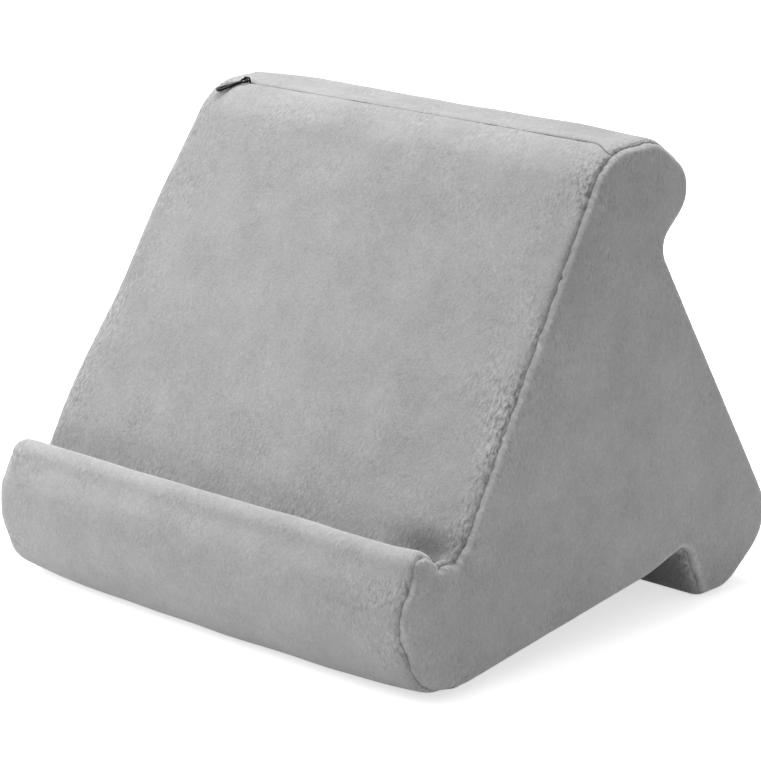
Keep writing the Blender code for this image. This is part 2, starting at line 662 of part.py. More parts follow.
def make_slider():
    """Two wings joined by a neck between the coils, and a bridge that stands out through the slit."""
    wing_top, wing_under, _, _, bottom_top, bottom_under = slider_depths()
    tape_top = slider_depths()[3]
    half = SLIDER_HALF_WIDTH
    neck = SLIDER_NECK / 2.0
    flange_end = tape_top - 2.0 * GAP
    section = [
        (-half, -wing_top), (half, -wing_top), (half, -flange_end), (half - FLANGE, -flange_end),
        (half - FLANGE, -wing_under), (neck, -wing_under), (neck, -bottom_top), (half, -bottom_top),
        (half, -bottom_under), (-half, -bottom_under), (-half, -bottom_top), (-neck, -bottom_top),
        (-neck, -wing_under), (-half + FLANGE, -wing_under), (-half + FLANGE, -flange_end),
        (-half, -flange_end),
    ]
    mesh_data = bmesh.new()
    length = SLIDER_LENGTH / 2.0
    rings = loft(mesh_data, [[(x, y, z) for y, z in section] for x in (-length, length)])
    for ring in rings:
        mesh_data.faces.new(ring)
    bmesh.ops.recalc_face_normals(mesh_data, faces=mesh_data.faces)
    mesh_data.transform(zip_frame(0.0))
    body = finish_object("zipper_slider", mesh_data, BLACK, 0.35, 0.6)
    body.location = (SLIDER_X, 0.0, 0.0)

    bridge_data = bmesh.new()
    post = BRIDGE_SPAN / 2.0 + BRIDGE_POST
    top = BRIDGE_CLEAR_HEIGHT + BRIDGE_BAR
    root = -wing_top - SLIDER_WALL / 2.0
    span = BRIDGE_SPAN / 2.0
    side_view = [
        (-post, root), (-span, root), (-span, BRIDGE_CLEAR_HEIGHT), (span, BRIDGE_CLEAR_HEIGHT),
        (span, root), (post, root), (post, BRIDGE_CLEAR_HEIGHT), (span, top), (-span, top),
        (-post, BRIDGE_CLEAR_HEIGHT),
    ]
    width = BRIDGE_WIDTH / 2.0
    rings = loft(bridge_data, [[(x, y, z) for x, z in side_view] for y in (-width, width)])
    for ring in rings:
        bridge_data.faces.new(ring)
    bridge_data.transform(zip_frame(0.0))
    bridge = finish_object("bridge_shape", bridge_data, BLACK, 0.35, 0.6)
    bridge.location = body.location
    bridge.hide_render = True
    bridge.display_type = "WIRE"
    union = body.modifiers.new("bridge", "BOOLEAN")
    union.operation = "UNION"
    union.object = bridge
    return body


def pull_frame():
    """Frame of the pull: origin on its crossbar, X to its tip, Y along the bar, Z away from the cloth."""
    base = zip_frame(0.0)
    yaw = radians(PULL_YAW)
    lean = radians(PULL_LEAN)
    flat = Vector((-cos(yaw), -sin(yaw), 0.0))
    towards_tip = flat * cos(lean) - Vector((0.0, 0.0, 1.0)) * sin(lean)
    bar = Vector((0.0, 0.0, 1.0)).cross(flat)
    away = towards_tip.cross(bar)
    local = Matrix((towards_tip, bar, away)).transposed().to_4x4()
    local.translation = Vector((0.0, 0.0, PULL_HEIGHT))
    return base @ local


def plate_with_holes(outline, holes, thickness):
    """A flat plate with holes through it, from closed outlines in its own X-Y plane."""
    loops = [outline] + holes
    points = [Vector(p) for loop in loops for p in loop]
    edges = []
    start = 0
    for loop in loops:
        edges += [(start + i, start + (i + 1) % len(loop)) for i in range(len(loop))]
        start += len(loop)
    _, _, faces, origins, _, _ = delaunay_2d_cdt(points, edges, [], 1, 1e-7)
    hole_rings = [[Vector(p) for p in hole] for hole in holes]
    mesh_data = bmesh.new()
    layers = []
    for z in (thickness / 2.0, -thickness / 2.0):
        layers.append([mesh_data.verts.new((p.x, p.y, z)) for p in points])
    for face in faces:
        corners = [origins[i][0] for i in face]
        centre = sum((points[i] for i in corners), Vector((0.0, 0.0))) / len(corners)
        if any(is_inside(centre, ring) for ring in hole_rings):
            continue
        for layer in layers:
            mesh_data.faces.new([layer[i] for i in corners])
    for a, b in edges:
        mesh_data.faces.new((layers[0][a], layers[0][b], layers[1][b], layers[1][a]))
    return mesh_data


def mirrored(half):
    """Close a half outline, given from the far end along +Y, by its mirror image."""
    return half + [(x, -y) for x, y in reversed(half)]


def make_pull_tab():
    """The pull: a loop round the bridge, a narrow neck and a slotted leaf. It turns on its crossbar."""
    bar = CROSSBAR / 2.0
    outer_half = LOOP_HALF_WIDTH + LOOP_WIRE
    tip_centre = PULL_LENGTH - LEAF_HALF_WIDTH
    tip = []
    for i in range(TIP_STEPS):
        angle = pi / 2.0 * (i + 0.5) / TIP_STEPS
        tip.append((tip_centre + LEAF_HALF_WIDTH * cos(angle), LEAF_HALF_WIDTH * sin(angle)))
    outline = mirrored(tip + [
        (LEAF_SHOULDER, SHOULDER_HALF_WIDTH),
        (LEAF_START, LEAF_START_HALF_WIDTH),
        (NECK_START, NECK_HALF_WIDTH),
        (LOOP_LENGTH, NECK_HALF_WIDTH + LOOP_WIRE),
        (LOOP_STRAIGHT, outer_half),
        (0.0, outer_half),
    ])
    loop_hole = mirrored([
        (LOOP_LENGTH, LOOP_END_HALF_WIDTH),
        ((LOOP_STRAIGHT + LOOP_LENGTH) / 2.0, LOOP_WAIST_HALF_WIDTH),
        (LOOP_STRAIGHT, LOOP_HALF_WIDTH),
        (bar / 2.0, LOOP_HALF_WIDTH),
    ])
    slot = mirrored([
        (SLOT_END, SLOT_HALF_WIDTH / 2.0),
        (SLOT_END - SLOT_HALF_WIDTH, SLOT_HALF_WIDTH),
        (SLOT_START + SLOT_HALF_WIDTH, SLOT_HALF_WIDTH),
        (SLOT_START, SLOT_HALF_WIDTH / 2.0),
    ])
    frame = pull_frame()
    plate_data = plate_with_holes(outline, [loop_hole, slot], PULL_THICKNESS)
    tab = finish_object("zipper_pull_tab", plate_data, BLACK, 0.35, 0.6)
    place = Matrix.Translation((SLIDER_X, 0.0, 0.0)) @ frame
    tab.matrix_world = place

    bar_data = bmesh.new()
    turn = Matrix.Rotation(pi / 2.0, 4, "X")
    bmesh.ops.create_cone(
        bar_data, cap_ends=True, segments=12, radius1=bar, radius2=bar, depth=2.0 * outer_half, matrix=turn
    )
    crossbar = finish_object("crossbar_shape", bar_data, BLACK, 0.35, 0.6)
    crossbar.matrix_world = place
    crossbar.hide_render = True
    crossbar.display_type = "WIRE"
    union = tab.modifiers.new("crossbar", "BOOLEAN")
    union.operation = "UNION"
    union.object = crossbar
    return tab


# ================================================================ build
def clear_scene():
    for obj in list(bpy.data.objects):
        bpy.data.objects.remove(obj, do_unlink=True)


def build():
    clear_scene()
    make_foam_core()
    make_cover_strips()
    make_side_panel("cover_side_left", -1.0)
    make_side_panel("cover_side_right", 1.0)
    make_side_seam_thread("side_thread_left", -1.0)
    make_side_seam_thread("side_thread_right", 1.0)
    make_zip_halves()
    stop_x = CHAIN_END - STOP_LENGTH / 2.0
    make_stop("zipper_top_stop_front", -stop_x, -1.0)
    make_stop("zipper_top_stop_rear", -stop_x, 1.0)
    make_stop("zipper_bottom_stop", stop_x, 0.0)
    make_slider()
    make_pull_tab()


build()
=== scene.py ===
# %% [markdown]
# # A soft tablet stand
#
# The stand is one block of foam in a zipped cover of short-pile plush. Four long panels of cloth wrap
# round the block: the screen face, the top, the back with its underside lip, and the front lip with the
# underside. Two crowned panels close its ends. A black zip runs across the top, just behind the rounded
# front edge, and its pull lies over the left corner.
#
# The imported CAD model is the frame: it says where everything is and what moves. This lesson builds the
# cloth that people see on top of that frame, piece by piece, and gives every piece its material.
#
# Lengths are in metres, +Z is up, -Y is the side with the front lip, and +X is the right end seen from
# the front.

from math import atan2, ceil, cos, degrees, pi, radians, sin, sqrt, tan

import bmesh
import bpy
import numpy as np
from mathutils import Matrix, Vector, noise
from mathutils.geometry import delaunay_2d_cdt
from mathutils.kdtree import KDTree


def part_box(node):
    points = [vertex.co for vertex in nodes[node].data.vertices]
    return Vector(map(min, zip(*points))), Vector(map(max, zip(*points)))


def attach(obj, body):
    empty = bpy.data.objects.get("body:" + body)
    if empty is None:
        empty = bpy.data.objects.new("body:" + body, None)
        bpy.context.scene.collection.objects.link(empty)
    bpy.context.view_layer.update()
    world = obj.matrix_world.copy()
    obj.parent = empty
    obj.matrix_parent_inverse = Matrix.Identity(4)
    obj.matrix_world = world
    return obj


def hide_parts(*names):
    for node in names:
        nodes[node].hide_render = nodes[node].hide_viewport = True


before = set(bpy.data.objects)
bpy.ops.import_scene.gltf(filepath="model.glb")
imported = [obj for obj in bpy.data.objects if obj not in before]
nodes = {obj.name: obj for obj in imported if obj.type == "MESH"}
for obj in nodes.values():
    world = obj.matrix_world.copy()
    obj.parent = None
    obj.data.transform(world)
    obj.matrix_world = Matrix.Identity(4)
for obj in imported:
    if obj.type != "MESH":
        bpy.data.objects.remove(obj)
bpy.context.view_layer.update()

# %% [markdown]
# ## Camera, floor and light
#
# The stand is seen from its front right corner, from a little above and through a long lens, so that
# its edges stay almost parallel.
#
# The light is a bright, even room with two large soft lamps: one low at the front left, which lights
# the screen face and the lip alike, and one overhead, slightly behind, which makes the top the lightest
# face. A weak third lamp near the floor makes the right end lighter at its foot. Plush is matt, so its
# shading is what shows its shape, and the right end lies in half shade. The floor is white to the eye
# but greyer as a reflector, so that the faces near it stay dark enough.

# %% Camera, floor and light
scene = bpy.context.scene
scene.view_settings.view_transform = "Standard"

AZIMUTH = radians(42.99)
ELEVATION = radians(15.64)
AIM = Vector((-0.01163, 0.01539, 0.10872))
DISTANCE = 1.8018


def placed(name, data):
    """A new object in the scene."""
    thing = bpy.data.objects.new(name, data)
    scene.collection.objects.link(thing)
    return thing


camera_data = bpy.data.cameras.new("camera")
camera_data.sensor_width = 36.0
camera_data.lens = 152.5
camera = placed("camera", camera_data)
outwards = Vector((sin(AZIMUTH) * cos(ELEVATION), -cos(AZIMUTH) * cos(ELEVATION), sin(ELEVATION)))
camera.location = AIM + outwards * DISTANCE
camera.rotation_euler = (-outwards).to_track_quat("-Z", "Y").to_euler()
scene.camera = camera


def new_node(tree, kind, **settings):
    """Adds a node. Each setting names a property, or an input with _ for a space, or _ and its number.

    A value that is another node's output is linked to the input.
    """
    node = tree.nodes.new(kind)
    for key, value in settings.items():
        if hasattr(node, key):
            setattr(node, key, value)
            continue
        socket = node.inputs[int(key[1:])] if key[1:].isdigit() else node.inputs[key.replace("_", " ")]
        if isinstance(value, bpy.types.NodeSocket):
            tree.links.new(value, socket)
        else:
            socket.default_value = value
    return node


def maths(tree, operation, *values):
    """The result of one step of arithmetic on numbers or other nodes' outputs."""
    inputs = {f"_{i}": value for i, value in enumerate(values)}
    return new_node(tree, "ShaderNodeMath", operation=operation, **inputs).outputs[0]


def either_shader(tree, factor, first, second, output):
    """Shows the first shader where the factor is 0 and the second where it is 1."""
    mix = new_node(tree, "ShaderNodeMixShader", _0=factor, _1=first.outputs[0], _2=second.outputs[0])
    new_node(tree, output, Surface=mix.outputs[0])


def seen_directly(tree):
    """1 where the eye looks at something straight, in a gloss or through glass, and 0 in soft light."""
    path = tree.nodes.new("ShaderNodeLightPath").outputs
    either = maths(tree, "MAXIMUM", path["Is Camera Ray"], path["Is Glossy Ray"])
    return maths(tree, "MAXIMUM", either, path["Is Transmission Ray"])


ROOM_LIGHT = 0.40        # from every side
FLOOR_REFLECTS = 0.76    # onto the stand
FLOOR_GLOW = 0.62        # seen straight, the floor is white even where the lamp falls off

# Each lamp is a round soft box: where it hangs, its diameter, and its power in watts
LAMPS = {
    "front left lamp": (Vector((-0.66, -0.84, 0.62)), 0.80, 6.8),
    "overhead lamp": (Vector((-0.26, 0.36, 1.28)), 0.90, 13.2),
    "low right lamp": (Vector((0.37, -0.02, 0.015)), 0.24, 0.13),
}

world = bpy.data.worlds.new("room")
world.use_nodes = True
scene.world = world
tree = world.node_tree
tree.nodes.clear()
room = new_node(tree, "ShaderNodeBackground", Color=(1, 1, 1, 1), Strength=ROOM_LIGHT)
backdrop = new_node(tree, "ShaderNodeBackground", Color=(1, 1, 1, 1), Strength=1.0)
either_shader(tree, seen_directly(tree), room, backdrop, "ShaderNodeOutputWorld")

for name, (place, size, power) in LAMPS.items():
    lamp_data = bpy.data.lights.new(name, "AREA")
    lamp_data.shape = "DISK"
    lamp_data.size = size
    lamp_data.energy = power
    lamp = placed(name, lamp_data)
    lamp.location = place
    lamp.visible_camera = False
    lamp.rotation_euler = (AIM - place).to_track_quat("-Z", "Y").to_euler()

FLOOR = 6.0              # half its side
floor_corners = [(-FLOOR, -FLOOR, 0), (FLOOR, -FLOOR, 0), (FLOOR, FLOOR, 0), (-FLOOR, FLOOR, 0)]
floor_mesh = bpy.data.meshes.new("floor")
floor_mesh.from_pydata(floor_corners, [], [(0, 1, 2, 3)])
floor = placed("floor", floor_mesh)
floor_material = bpy.data.materials.new("floor")
floor_material.use_nodes = True
tree = floor_material.node_tree
tree.nodes.clear()
white = new_node(tree, "ShaderNodeBsdfDiffuse", Color=(1, 1, 1, 1))
glow = new_node(tree, "ShaderNodeEmission", Color=(1, 1, 1, 1), Strength=FLOOR_GLOW)
bright = new_node(tree, "ShaderNodeAddShader", _0=white.outputs[0], _1=glow.outputs[0])
grey = new_node(tree, "ShaderNodeBsdfDiffuse", Color=(FLOOR_REFLECTS,) * 3 + (1,))
either_shader(tree, seen_directly(tree), grey, bright, "ShaderNodeOutputMaterial")
floor_mesh.materials.append(floor_material)
print("camera at", [round(v, 3) for v in camera.location])

# %% [markdown]
# ## The outline
#
# Seen from its end, the stand is one closed outline: fifteen corners, each rounded by an arc. The sizes
# are those of the CAD part. Everything on the cover is placed on this outline: a place along it, a
# place across the stand, and a height above the surface.

# %% The outline
WIDTH = 0.294            # over the two side seams, at the top
HEIGHT = 0.2625
FLARE = 0.0075           # the stand is wider at the floor by this, at each end
END = WIDTH / 2.0        # the side seam, before the flare
SCREEN_ANGLE = 58.4      # degrees from the floor, and so are the other angles
BACK_ANGLE = 59.3
LIP_LEAN = 16.5          # the front of the lip leans forward by this, up to its brow
BROW_HEIGHT = 0.052
CREST_PLACE = Vector((0.0108, 0.0845))
TRAY_HEIGHT = 0.067
TRAY_SETBACK = 0.0085    # from the crest to the front of the tray
TRAY_WIDTH = 0.0135
TOP_WIDTH = 0.0425
TOP_RISE = 0.0005        # towards the rear
TOP_LIP_ANGLE, TOP_LIP_LENGTH = 35.7, 0.049
TOP_NOTCH_ANGLE, TOP_NOTCH_LENGTH = 38.5, 0.047
BACK_CORNER_HEIGHT = 0.0315
REAR_FOOT_ANGLE, REAR_FOOT_LENGTH = 34.7, 0.0228
REAR_NOTCH_ANGLE, REAR_NOTCH_HEIGHT = 114.5, 0.0325
UNDERSIDE_LENGTH, UNDERSIDE_HEIGHT = 0.0305, 0.0235
FRONT_FOOT_LENGTH = 0.037
ROUNDINGS = {            # clockwise, seen from the right end
    "heel": 0.031, "brow": 0.030, "crest": 0.009, "tray_front": 0.006, "tray_back": 0.006,
    "top_front": 0.036, "top_rear": 0.0245, "top_lip": 0.0205, "top_notch": 0.0085,
    "back_corner": 0.0285, "rear_heel": 0.030, "rear_toe": 0.007, "rear_notch": 0.007,
    "underside": 0.030, "front_foot": 0.060,
}
DRAWS = {"heel": 0.004, "brow": 0.002, "front_foot": 0.0025}    # corners drawn in at the ends
DRAW_REACH = 0.085       # from the ends
ZIP_OFFSET = 0.0115      # the zip's middle, behind the middle of the rounded top front edge
CHAIN_END = 0.1319       # the zip's chain reaches this far from the middle


def step_from(point, angle, length):
    return Vector((point[0] + length * cos(radians(angle)), point[1] + length * sin(radians(angle))))


def rise_to(point, angle, height):
    """The point at a height on a straight line from another point."""
    return step_from(point, angle, (height - point[1]) / sin(radians(angle)))


def sharp_corners():
    """Each corner (y, z) before it is rounded, in the order of the roundings."""
    heel = Vector((0.0, 0.0))
    brow = Vector((-BROW_HEIGHT * tan(radians(LIP_LEAN)), BROW_HEIGHT))
    tray_front = Vector((CREST_PLACE.x + TRAY_SETBACK, TRAY_HEIGHT))
    tray_back = Vector((tray_front.x + TRAY_WIDTH, TRAY_HEIGHT))
    top_front = rise_to(tray_back, SCREEN_ANGLE, HEIGHT)
    top_rear = Vector((top_front.x + TOP_WIDTH, HEIGHT + TOP_RISE))
    top_lip = step_from(top_rear, -TOP_LIP_ANGLE, TOP_LIP_LENGTH)
    top_notch = step_from(top_lip, 180.0 + TOP_NOTCH_ANGLE, TOP_NOTCH_LENGTH)
    back_corner = rise_to(top_notch, -BACK_ANGLE, BACK_CORNER_HEIGHT)
    rear_heel = rise_to(back_corner, 180.0 + REAR_FOOT_ANGLE, 0.0)
    rear_toe = Vector((rear_heel.x - REAR_FOOT_LENGTH, 0.0))
    rear_notch = rise_to(rear_toe, REAR_NOTCH_ANGLE, REAR_NOTCH_HEIGHT)
    underside = Vector((rear_notch.x - UNDERSIDE_LENGTH, UNDERSIDE_HEIGHT))
    front_foot = Vector((FRONT_FOOT_LENGTH, 0.0))
    return [
        heel, brow, CREST_PLACE, tray_front, tray_back, top_front, top_rear, top_lip,
        top_notch, back_corner, rear_heel, rear_toe, rear_notch, underside, front_foot,
    ]


class Rounding:
    """One rounded corner: where its arc starts, how far it turns, and where it is on the outline."""

    def __init__(self, name, before, corner, after, radius):
        arrive = (corner - before).normalized()
        leave = (after - corner).normalized()
        self.name = name
        self.radius = radius
        self.heading = atan2(arrive.y, arrive.x)
        self.turn = atan2(arrive.x * leave.y - arrive.y * leave.x, arrive.dot(leave))
        setback = radius * tan(abs(self.turn) / 2.0)
        self.first = corner - arrive * setback
        self.last = corner + leave * setback
        self.length = radius * abs(self.turn)
        self.draw = DRAWS.get(name, 0.0)


corners = sharp_corners()
arcs = []
for i, (name, radius) in enumerate(ROUNDINGS.items()):
    arcs.append(Rounding(name, corners[i - 1], corners[i], corners[(i + 1) % len(corners)], radius))
place_along = 0.0
for i, arc in enumerate(arcs):
    arc.start = place_along
    place_along += arc.length
    arc.flat = (arcs[(i + 1) % len(arcs)].first - arc.last).length
    place_along += arc.flat
ROUND = place_along
ARC = {arc.name: arc for arc in arcs}


def outline(s):
    """Points (y, z), outward normals and the ends' draw-in at places along the outline."""
    s = np.mod(np.asarray(s, float), ROUND)
    y, z, ny, nz, draw = (np.zeros_like(s) for _ in range(5))
    for i, arc in enumerate(arcs):
        following = arcs[(i + 1) % len(arcs)]
        arc_end = arc.start + arc.length
        on_arc = (s >= arc.start) & (s < arc_end)
        heading = arc.heading + arc.turn * (s[on_arc] - arc.start) / arc.length
        inwards = arc.radius if arc.turn > 0 else -arc.radius
        ny[on_arc] = -np.sin(heading)
        nz[on_arc] = np.cos(heading)
        y[on_arc] = arc.first.x - sin(arc.heading) * inwards - ny[on_arc] * inwards
        z[on_arc] = arc.first.y + cos(arc.heading) * inwards - nz[on_arc] * inwards
        draw[on_arc] = arc.draw
        on_flat = (s >= arc_end) & (s < arc_end + arc.flat)
        t = (s[on_flat] - arc_end) / arc.flat
        heading = arc.heading + arc.turn
        y[on_flat] = arc.last.x + (following.first.x - arc.last.x) * t
        z[on_flat] = arc.last.y + (following.first.y - arc.last.y) * t
        ny[on_flat] = -sin(heading)
        nz[on_flat] = cos(heading)
        draw[on_flat] = arc.draw + (following.draw - arc.draw) * t
    return y, z, ny, nz, draw


trial = outline(np.linspace(0.0, ROUND, 4000, endpoint=False))
MIDDLE = (trial[0].min() + trial[0].max()) / 2.0
for arc in arcs:
    arc.first = arc.first - Vector((MIDDLE, 0.0))
    arc.last = arc.last - Vector((MIDDLE, 0.0))


def middle_of(name):
    return ARC[name].start + ARC[name].length / 2.0


S_TRAY = middle_of("tray_back")
S_ZIP = middle_of("top_front") + ZIP_OFFSET
S_NOTCH = middle_of("top_notch")
S_REAR = middle_of("rear_notch")
SEAMS = (S_TRAY, S_ZIP, S_NOTCH, S_REAR)
print("outline", round(ROUND, 4), "m round; seams at", [round(v, 4) for v in SEAMS])

# %% [markdown]
# ## How cloth lies on foam
#
# Real plush over foam is never quite flat. Four things shape it:
#
# - broad, shallow swells, because the foam is cut by hand and the cover is a little loose;
# - a groove at each side seam, where two layers are sewn together and turn inwards;
# - puckers, the small wrinkles that the stitches gather. They start at the seam and fade within two
#   or three centimetres;
# - corners that round off and sink where three panels meet.
#
# Each is a height added along the surface's normal, as a function of the place in space, so that two
# panels agree where they meet.


# %% Heights that shape the cloth
def fade(t):
    """0 up to t = 0, 1 from t = 1, and smooth between."""
    t = np.clip(t, 0.0, 1.0)
    return t * t * (3.0 - 2.0 * t)


def bump(x, centre, half_width):
    """A smooth hill, 1 at its centre and 0 beyond its half width."""
    return 1.0 - fade(np.abs(x - centre) / half_width)


def noise_at(points, size, seed):
    """Smooth noise between about -1 and 1, with swells of a given size in metres."""
    shift = Vector((seed * 7.13, seed * 3.71, seed * 5.37))
    scale = 1.0 / size
    return np.array([noise.noise(Vector(p) * scale + shift) for p in points])


# Each kind of broad swell: how wide, how high, and its seed. The lift keeps the foam covered
SWELLS = ((0.085, 0.0009, 1), (0.034, 0.00045, 2))
SWELL_LIFT = 0.0001


def swells(points):
    """The cloth's broad swells: mostly outwards."""
    return SWELL_LIFT + sum(height * noise_at(points, size, seed) for size, height, seed in SWELLS)


PILLOW = {"tree": None, "moves": None}    # filled by the cloth simulation further on
PILLOW_VOXEL = 0.006     # size of the pillow's squares
PILLOW_REACH = 2.6 * PILLOW_VOXEL         # a point's swell is the mean over this distance


def swell_at(points, normals):
    """How far the simulated pillow has swollen along each point's normal."""
    swell = np.zeros(len(points))
    if PILLOW["tree"] is None:
        return swell
    for i, (point, normal) in enumerate(zip(points, normals)):
        near = PILLOW["tree"].find_range(point, PILLOW_REACH)
        if near:
            away = np.array([distance for _, _, distance in near]) / PILLOW_REACH
            weights = np.maximum(0.0, 1.0 - away**2) ** 1.5
            moves = PILLOW["moves"][[index for _, index, _ in near]]
            swell[i] = (weights @ (moves @ normal)) / max(weights.sum(), 1e-9)
    return swell * SWELL_SHARE


def flare(x, z):
    return x * (1.0 + FLARE / (WIDTH / 2.0) * (1.0 - z / HEIGHT))


SEAM_TUCK = 0.0020       # the cloth is drawn in this far at a side seam
SEAM_REACH = 0.0065      # width of the band that the seam draws in
GROOVE = 0.0014          # depth of the groove at a seam, which the pile half covers
GROOVE_WIDTH = 0.0015
EVEN = 0.65              # the groove's mean depth, as a share of GROOVE
UNEVEN = 0.65            # and how much that varies
STITCH_PITCH = 0.0034    # the groove is deepest where a stitch pulls, about this far apart


def along_seam(s, side, size, seed):
    """Noise that runs along one side seam, the same on both sides of it."""
    return noise_at(np.stack([np.mod(s, ROUND), 0.37 * side + 0.0 * s, 0.0 * s], 1), size, seed)


def groove_depth(s, side):
    """How deep the groove is along one side seam, as a share of its usual depth."""
    return np.clip(EVEN + UNEVEN * along_seam(s, side, STITCH_PITCH, seed=12), 0.05, 1.5)


def drawn_in(distance, depth):
    """How far the cloth is drawn in at a distance from a seam that runs beside it."""
    u = np.clip(1.0 - distance / SEAM_REACH, 0.0, 1.0)
    band = SEAM_TUCK * (1.0 - np.sqrt(1.0 - u * u * 0.96))
    return band + GROOVE * depth * (1.0 - np.clip(distance / GROOVE_WIDTH, 0.0, 1.0)) ** 2


def draw_share(x):
    """How much of a corner's draw-in there is, from 0 in the middle to 1 at the ends."""
    return np.clip(1.0 - (END - np.abs(x)) / DRAW_REACH, 0.0, 1.0) ** 2


# Two kinds of gather: spacing along the seam, slant, length, offset of the noise, strength and reach
GATHERS = ((0.0085, 25.0, 0.020, 9.1, 1.0, 0.012), (0.0034, -20.0, 0.009, 4.3, 0.45, 0.006))


def puckers(s, distance, seed):
    """Gathers that leave a side seam at a slight slant and fade out, in patches."""
    ripple = np.zeros_like(s)
    for pitch, slant, length, shift, strength, reach in GATHERS:
        along = s / pitch + slant * distance
        places = np.stack([along, distance / length, np.full_like(s, seed * shift)], 1)
        gather = np.array([noise.noise(Vector(place)) for place in places])
        ripple += strength * gather * np.exp(-distance / reach)
    places = np.stack([s, distance * 0.3, np.full_like(s, seed)], 1)
    patchy = np.clip(0.6 + 0.9 * noise_at(places, size=0.045, seed=5), 0.15, 1.4)
    return ripple * patchy * fade(distance / 0.0010)


# %% [markdown]
# ## The four long panels
#
# A panel is a sheet with rows along the outline and columns across the stand. Its columns crowd
# together near the side seams, where the groove and the puckers need them. Along its own two edges it
# turns inwards, as a seam allowance does. Solidify gives the sheet its thickness.


# %% Making a sheet
def crowded(half, finest, widest, growth=1.16):
    """Places from 0 to half: widest apart in the middle and finest at the end."""
    steps = [finest]
    while sum(steps) < half:
        steps.append(min(steps[-1] * growth, widest))
    steps = np.array(steps) * half / sum(steps)
    return half - np.concatenate([[0.0], np.cumsum(steps)])[::-1]


ARC_STEP = 6.0           # degrees between two rows on a rounding


def rows_between(low, high, finest=0.0006, widest=0.0012, growth=0.22):
    """Places along the outline for a panel's rows: finer on tight corners and at its two edges."""
    places = [low]
    while places[-1] < high:
        here = places[-1]
        edge = min(here - low, high - here)
        step = min(widest, finest + edge * growth)
        wrapped = here % ROUND
        for arc in arcs:
            if arc.start - 0.002 <= wrapped <= arc.start + arc.length + 0.002:
                step = min(step, arc.radius * radians(ARC_STEP))
        places.append(here + step)
    places = np.array(places)
    return low + (places - low) * (high - low) / (places[-1] - low)


def add_piece(name, verts, faces, cloth=None, **looks):
    """A new object. Cloth is each point's place on the cloth, for the shader.

    Ruffle is how crimped the pile is at each point. Painted light and shade is light and shade painted
    into its colour, from -1 for a painted highlight on a rim to 1 for painted shade in a crease.
    """
    mesh = bpy.data.meshes.new(name)
    mesh.from_pydata([tuple(v) for v in verts], [], faces)
    mesh.shade_smooth()
    if cloth is not None:
        of_corners = np.empty(len(mesh.loops), int)
        mesh.loops.foreach_get("vertex_index", of_corners)
        cloth_map = mesh.uv_layers.new(name="cloth")
        cloth_map.data.foreach_set("uv", cloth[of_corners].astype(np.float32).ravel())
    for label, values in looks.items():
        attribute = mesh.attributes.new(label, "FLOAT", "POINT")
        attribute.data.foreach_set("value", values.astype(np.float32))
    return placed(name, mesh)


def thickened(piece):
    """Gives a panel the thickness of its cloth, inwards."""
    solid = piece.modifiers.new("thickness", "SOLIDIFY")
    solid.thickness = CLOTH
    solid.offset = -1.0
    return piece


def grid_faces(rows, columns):
    index = np.arange(rows * columns).reshape(rows, columns)
    a, b, c, d = index[:-1, :-1], index[:-1, 1:], index[1:, 1:], index[1:, :-1]
    return np.stack([a, b, c, d], -1).reshape(-1, 4).tolist()


CLOTH = 0.0014
CREST = middle_of("crest")
TRAY_MIDDLE = (ARC["tray_front"].start + S_TRAY) / 2.0
CREST_FULL, CREST_HALF = 0.0026, 0.015    # how full, and half its width along the outline
CREST_REACH_LEFT = 0.010
TOP_FULL, TOP_HALF = 0.0016, 0.045
TOP_MIDDLE = middle_of("top_front") + 0.026
TOP_FADE = 0.055         # the top is full from this far inside its ends
PINCH, PINCH_HALF = 0.0050, 0.026         # the crest sinks to its left seam
PINCH_REACH = 0.0045
TRAY_LIFT, TRAY_HALF = 0.0062, 0.019      # the right seam lifts the tray
TRAY_REACH = 0.012
CREST_LIFT, CREST_REACH = 0.0016, 0.024   # and the crest
ZIP_FRONT, ZIP_REAR = 0.017, 0.009        # the pull and the slider travel over this strip
ZIP_FADE = 0.015


def off_zip(s):
    """0 along the zip, where the cover lies close so that the pull has room, and 1 elsewhere."""
    s = np.mod(s, ROUND) - S_ZIP
    return fade(np.maximum(-ZIP_FRONT - s, s - ZIP_REAR) / ZIP_FADE)


def fullness(s, x):
    """How much fuller than the plain outline the cover is, along the normal.

    The crest and the top are well filled. Towards the right end the seam lifts the tray and the
    crest to nearly one height; at the left end the crest drops to its seam within a few millimetres.
    """
    s = np.mod(s, ROUND)
    to_left, to_right = END + x, END - x
    crest = bump(s, CREST, CREST_HALF)
    full = CREST_FULL * crest * (1.0 - fade(1.0 - to_left / CREST_REACH_LEFT))
    full += CREST_LIFT * crest * fade(1.0 - to_right / CREST_REACH)
    at_left = np.clip(1.0 - to_left / PINCH_REACH, 0.0, 1.0) ** 2
    full -= PINCH * bump(s, CREST - 0.004, PINCH_HALF) * at_left
    full += TRAY_LIFT * bump(s, TRAY_MIDDLE + 0.002, TRAY_HALF) * fade(1.0 - to_right / TRAY_REACH)
    inside = fade(np.minimum(to_left, to_right) / TOP_FADE)
    return full + TOP_FULL * bump(s, TOP_MIDDLE, TOP_HALF) * inside * off_zip(s)


# Where the cover pulls in or lets out at its left end: (y, z), how wide, and the seam's shift
LEFT_PULLS = (
    ((0.010, 0.250), 0.070, 0.0040),
    ((-0.085, 0.095), 0.075, -0.0048),
    ((-0.150, 0.048), 0.040, 0.0062),
    ((-0.146, 0.010), 0.028, 0.0040),
)
PULL_REACH = 0.070       # from the left end
WANDER, WANDER_SIZE = 0.00018, 0.011      # a seam isn't quite straight
WANDER_REACH = 0.007


